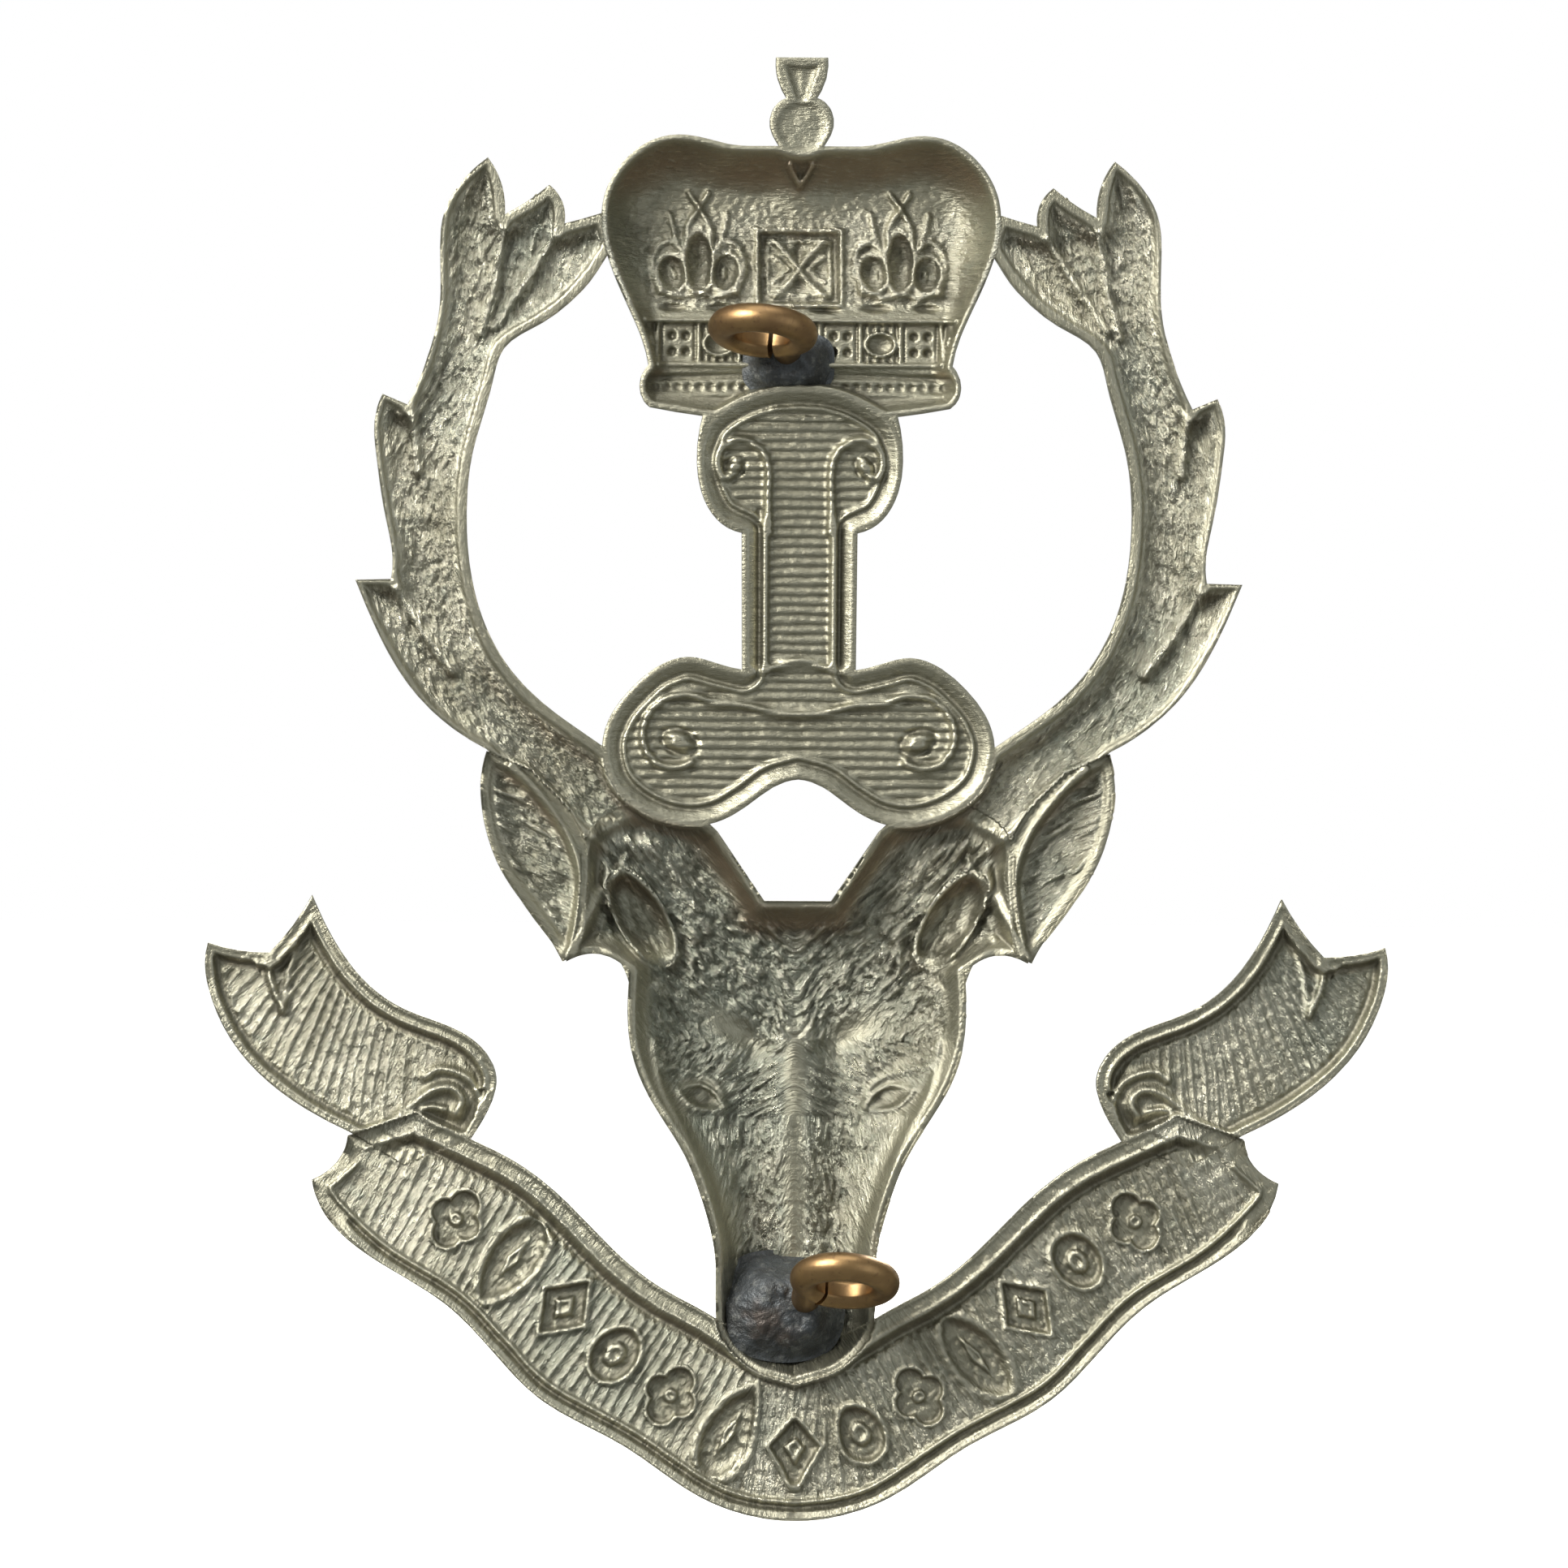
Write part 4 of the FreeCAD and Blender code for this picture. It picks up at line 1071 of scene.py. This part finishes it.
class BadgeColours(bpy.types.PropertyGroup):
    metal: tint("Metal", "Nickel silver where it is clean", (0.55, 0.54, 0.455))
    metal_dull: tint("Dull metal", "Nickel silver where it has dulled", (0.305, 0.297, 0.232))
    ridge: tint("Ridge", "Nickel silver rubbed bright on the ridges", (0.76, 0.74, 0.64))
    verdigris: tint("Grey green", "Grey-green film in the field", (0.25, 0.28, 0.245))
    # brown tarnish in the deep hollows, laid as painted shade on the walls that face down
    tarnish_and_shade: tint("Tarnish", "Brown tarnish on the steep upper walls", (0.29, 0.22, 0.16))
    # darker colour laid into the sunk lines and marks
    sunk_dark: tint("Grime", "Dark dirt in the lines", (0.18, 0.17, 0.135))
    wire: tint("Wire", "Copper wire where it is rubbed", (0.34, 0.22, 0.105))
    wire_dull: tint("Dull wire", "Copper wire where it has browned", (0.20, 0.123, 0.065))
    wire_dark: tint("Dark wire", "Dark specks on the wire", (0.13, 0.08, 0.05))
    solder: tint("Solder", "Sooty solder", (0.036, 0.038, 0.039))
    solder_blue: tint("Smooth solder", "Bluish smooth solder", (0.085, 0.095, 0.105))
    solder_brown: tint("Solder stain", "Brown stain left by the flux", (0.075, 0.052, 0.038))
    solder_light: tint("Solder specks", "Clean specks in the solder", (0.24, 0.25, 0.24))
    floor: tint("Floor", "Pale paper floor", (0.9, 0.9, 0.9))


# ---- loops and solder --------------------------------------------------------
def select_none():
    if bpy.context.object and bpy.context.object.mode != "OBJECT":
        bpy.ops.object.mode_set(mode="OBJECT")
    bpy.ops.object.select_all(action="DESELECT")


def eye(name):
    """Centre and axis of a loop's bore, from the record."""
    mount = next(m for m in frame["record"]["mounts"] if m["name"] == name)
    return Vector(mount["pos_m"]), Vector(mount["axis"]).normalized()


HALF_SLIT = 0.00015  # half the gap in a ring, in metres
DOWN = Vector((0, -1, 0))


def wire_loop(name, mount, slit_turn, leg_depth, node_name):
    """A ring with a slit, set on a straight leg that runs down into the solder.

    slit_turn is the angle in degrees from the ring's foot to the slit.
    """
    sizes = bpy.context.scene.badge_sizes
    radius, wire = sizes.ring / 2, sizes.wire / 2
    centre, axis = eye(mount)
    out = (DOWN - axis * DOWN.dot(axis)).normalized()
    right = out.cross(axis)
    turned = Matrix((right, out, axis)).transposed().to_4x4()
    turned.translation = centre
    select_none()
    bpy.ops.mesh.primitive_torus_add(major_segments=144, minor_segments=48, major_radius=radius,
                                     minor_radius=wire)
    ring = bpy.context.object
    ring.name = ring.data.name = name
    slit = math.radians(slit_turn)
    bpy.ops.object.mode_set(mode="EDIT")
    work = bmesh.from_edit_mesh(ring.data)
    middles = [(face, face.calc_center_median()) for face in work.faces]
    doomed = [f for f, p in middles if abs(math.atan2(p.x, -p.y) - slit) < HALF_SLIT / radius]
    bmesh.ops.delete(work, geom=doomed, context="FACES")
    open_edges = [e for e in work.edges if e.is_boundary]
    bmesh.ops.holes_fill(work, edges=open_edges, sides=0)
    floor = radius - wire + sizes.land
    for vert in work.verts:
        flat = math.hypot(vert.co.x, vert.co.y)
        if flat < floor:
            vert.co.x *= floor / flat
            vert.co.y *= floor / flat
        vert.co.z *= 1 + 0.012 * math.sin(3 * math.atan2(vert.co.y, vert.co.x) + slit_turn)
    bmesh.update_edit_mesh(ring.data)
    bpy.ops.object.mode_set(mode="OBJECT")
    turn = slit + math.copysign((HALF_SLIT + wire) / radius, slit_turn)
    root = Vector((math.sin(turn) * radius, -math.cos(turn) * radius, 0))
    select_none()
    bpy.ops.mesh.primitive_cylinder_add(vertices=48, radius=wire * 0.99, depth=leg_depth,
                                        location=root + DOWN * leg_depth / 2,
                                        rotation=(math.pi / 2, 0, 0))
    leg = bpy.context.object
    bpy.ops.object.transform_apply(location=True, rotation=True, scale=True)
    leg.select_set(True)
    ring.select_set(True)
    bpy.context.view_layer.objects.active = ring
    bpy.ops.object.join()
    ring.data.transform(turned)
    bpy.ops.object.shade_smooth_by_angle(angle=math.radians(38))
    finish(ring, "loop_wire", node_name)


BLUNT = 2.8  # how square a mound's outline is; 2 would be an ellipse


def solder_mound(name, node_name, centre, size, crest, hem, seed):
    """Solder run into a hollow: a lumpy cap whose hem falls to a given depth all round.

    hem holds angles in degrees and the depth of the mound's edge at each of them.
    """
    select_none()
    bpy.ops.mesh.primitive_uv_sphere_add(segments=160, ring_count=44, radius=1.0)
    mound = bpy.context.object
    mound.name = mound.data.name = name
    bpy.ops.object.mode_set(mode="EDIT")
    work = bmesh.from_edit_mesh(mound.data)
    co = np.array([tuple(v.co) for v in work.verts])
    angle = np.arctan2(co[:, 1], co[:, 0])
    out = 1 - np.clip(1 - np.arccos(np.clip(np.abs(co[:, 2]), 0, 1)) / (math.pi / 2), 0, 1)
    c, d = np.cos(angle), np.sin(angle)
    edge = (np.abs(c) ** BLUNT + np.abs(d) ** BLUNT) ** (-1 / BLUNT)
    edge *= 1 + 0.04 * grain(c * 1.6 + 5, d * 1.6, seed)
    x = centre[0] + size[0] / 2 * edge * out * c
    z = centre[1] + size[1] / 2 * edge * out * d
    low = np.interp(np.degrees(angle) % 360, *hem)
    fall = ease((out - 0.35) / 0.65) ** 1.3
    y = crest + (low - crest) * fall
    y += (0.12 * grain(x * 1.1, z * 1.1, seed + 2) + 0.08 * grain(x * 2.8, z * 2.8, seed + 3)
          + 0.04 * grain(x * 6, z * 6, seed + 4)) * (1 - out**4)
    below = co[:, 2] < -1e-6
    y = np.where(below, (low + 0.2) * out + (np.mean(hem[1]) + 0.25) * (1 - out), y)
    for vert, p, q, t in zip(work.verts, x, y, z):
        vert.co = Vector((p, q, t)) * MM
    bmesh.ops.recalc_face_normals(work, faces=work.faces)
    bmesh.update_edit_mesh(mound.data)
    bpy.ops.object.mode_set(mode="OBJECT")
    bpy.ops.object.shade_smooth_by_angle(angle=math.radians(60))
    finish(mound, "solder", node_name)


# ---- operators ---------------------------------------------------------------
class BADGE_OT_struck_plate(bpy.types.Operator):
    """Strike the sheet: crown, ornament, antlers, head, ears and ribbon"""

    bl_idname = "badge.struck_plate"
    bl_label = "Struck Plate"

    def execute(self, context):
        for name, part, half in (
                ("crown", CROWN_PART, 0), ("ornament", ORNAMENT_PART, 0),
                ("left_antler", ANTLER_PART, -1), ("right_antler", ANTLER_PART, 1),
                ("stag_head", HEAD_PART, 0), ("ears", EAR_PART, 0),
                ("ribbon_band_left", BAND_PART, -1), ("ribbon_band_right", BAND_PART, 1),
                ("ribbon_tails", TAIL_PART, 0)):
            struck_piece(name, part, half, context.scene.badge_sizes)
        return {"FINISHED"}


class BADGE_OT_loops(bpy.types.Operator):
    """Bend the two wire loops"""

    bl_idname = "badge.loops"
    bl_label = "Wire Loops"

    def execute(self, context):
        wire_loop("upper_wire_loop", "upper_eye", 20.0, 0.0030, "upper_loop")
        wire_loop("lower_wire_loop", "lower_eye", -36.0, 0.0038, "lower_loop")
        return {"FINISHED"}


class BADGE_OT_solder(bpy.types.Operator):
    """Flow the solder round the wire's ends"""

    bl_idname = "badge.solder"
    bl_label = "Solder"

    def execute(self, context):
        upper = (range(0, 361, 90), [1.2, 1.3, 1.2, 0.7, 1.2])
        lower = (range(0, 361, 45), [2.5, 3.2, 3.3, 2.6, 1.0, 0.8, 0.9, 1.6, 2.5])
        solder_mound("upper_solder_mound", "upper_solder", (-0.6, 22.1), (4.9, 3.4), -0.35,
                     upper, 71)
        solder_mound("lower_solder_mound", "lower_solder", (-0.5, -26.9), (6.3, 5.7), -0.12,
                     lower, 81)
        return {"FINISHED"}


class BADGE_OT_stage(bpy.types.Operator):
    """Lay the pale floor, set the lights and aim the camera"""

    bl_idname = "badge.stage"
    bl_label = "Floor, Lights and Camera"

    def execute(self, context):
        scene = context.scene
        select_none()
        low = CAD_BOX[0]
        bpy.ops.mesh.primitive_circle_add(vertices=96, radius=3.0, fill_type="NGON",
                                          location=(0, 0, low[2] - 0.0002))
        floor = context.object
        floor.name = "pale_floor"
        bpy.ops.object.transform_apply(location=True, rotation=True, scale=True)
        floor.data.materials.append(material("floor"))
        floor.visible_diffuse = False
        floor.visible_glossy = False
        for name, place, size, power, colour in (
                ("key_softbox", (-0.31, -0.26, 0.25), 0.22, 4.0, (1.0, 0.965, 0.89)),
                ("fill_softbox", (0.34, -0.34, 0.02), 0.36, 0.35, (0.93, 0.97, 1.0)),
                ("top_softbox", (0.02, -0.08, 0.45), 0.30, 0.7, (1.0, 0.99, 0.96)),
                ("front_softbox", (0.10, 0.36, 0.30), 0.30, 4.0, (1.0, 0.98, 0.95))):
            lamp = bpy.data.lights.new(name, "AREA")
            lamp.size = size
            lamp.energy = power
            lamp.color = colour
            stand = bpy.data.objects.new(name, lamp)
            stand.location = place
            stand.rotation_euler = (-Vector(place)).to_track_quat("-Z", "Y").to_euler()
            scene.collection.objects.link(stand)
        world = bpy.data.worlds.new("pale room")
        world.use_nodes = True
        paint = Paint(world.node_tree)
        seen = paint.node("ShaderNodeLightPath").outputs["Is Camera Ray"]
        light = paint.blend(seen, (0.32, 0.325, 0.30), (1.0, 1.0, 1.0))
        paint.plug(world.node_tree.nodes["Background"], {"Color": light})
        scene.world = world
        lens = bpy.data.cameras.new("camera")
        camera = bpy.data.objects.new("camera", lens)
        distance, view_width = 0.70, 0.0814
        lens.sensor_width = 36.0
        lens.lens = lens.sensor_width * distance / view_width
        lens.clip_start = 0.005
        yaw, roll, pitch = math.radians(-2.5), math.radians(-0.3), math.pi / 2
        turned = (Matrix.Rotation(yaw, 4, "Z") @ Matrix.Rotation(roll, 4, "Y")
                  @ Matrix.Rotation(pitch, 4, "X"))
        target = Vector((-0.00076, 0, 0.00027))
        away = turned.to_3x3() @ Vector((0, 0, distance))
        camera.matrix_world = Matrix.Translation(target + away) @ turned
        scene.collection.objects.link(camera)
        scene.camera = camera
        scene.view_settings.view_transform = "Standard"
        return {"FINISHED"}


class BADGE_PT_panel(bpy.types.Panel):
    bl_idname = "BADGE_PT_panel"
    bl_label = "Cap Badge"
    bl_space_type = "VIEW_3D"
    bl_region_type = "UI"
    bl_category = "Badge"

    def draw(self, context):
        layout = self.layout
        for operator in OPERATORS:
            layout.operator(operator.bl_idname)
        for group in (context.scene.badge_sizes, context.scene.badge_colours):
            box = layout.box()
            for key in group.__annotations__:
                box.prop(group, key)


OPERATORS = (BADGE_OT_struck_plate, BADGE_OT_loops, BADGE_OT_solder, BADGE_OT_stage)
CLASSES = (BadgeSizes, BadgeColours) + OPERATORS + (BADGE_PT_panel,)


def register():
    for item in CLASSES:
        bpy.utils.register_class(item)
    bpy.types.Scene.badge_sizes = bpy.props.PointerProperty(type=BadgeSizes)
    bpy.types.Scene.badge_colours = bpy.props.PointerProperty(type=BadgeColours)


def unregister():
    del bpy.types.Scene.badge_colours
    del bpy.types.Scene.badge_sizes
    for item in reversed(CLASSES):
        bpy.utils.unregister_class(item)


def main():
    register()
    bpy.ops.badge.struck_plate()
    bpy.ops.badge.loops()
    bpy.ops.badge.solder()
    bpy.ops.badge.stage()


if __name__ == "__main__":
    main()
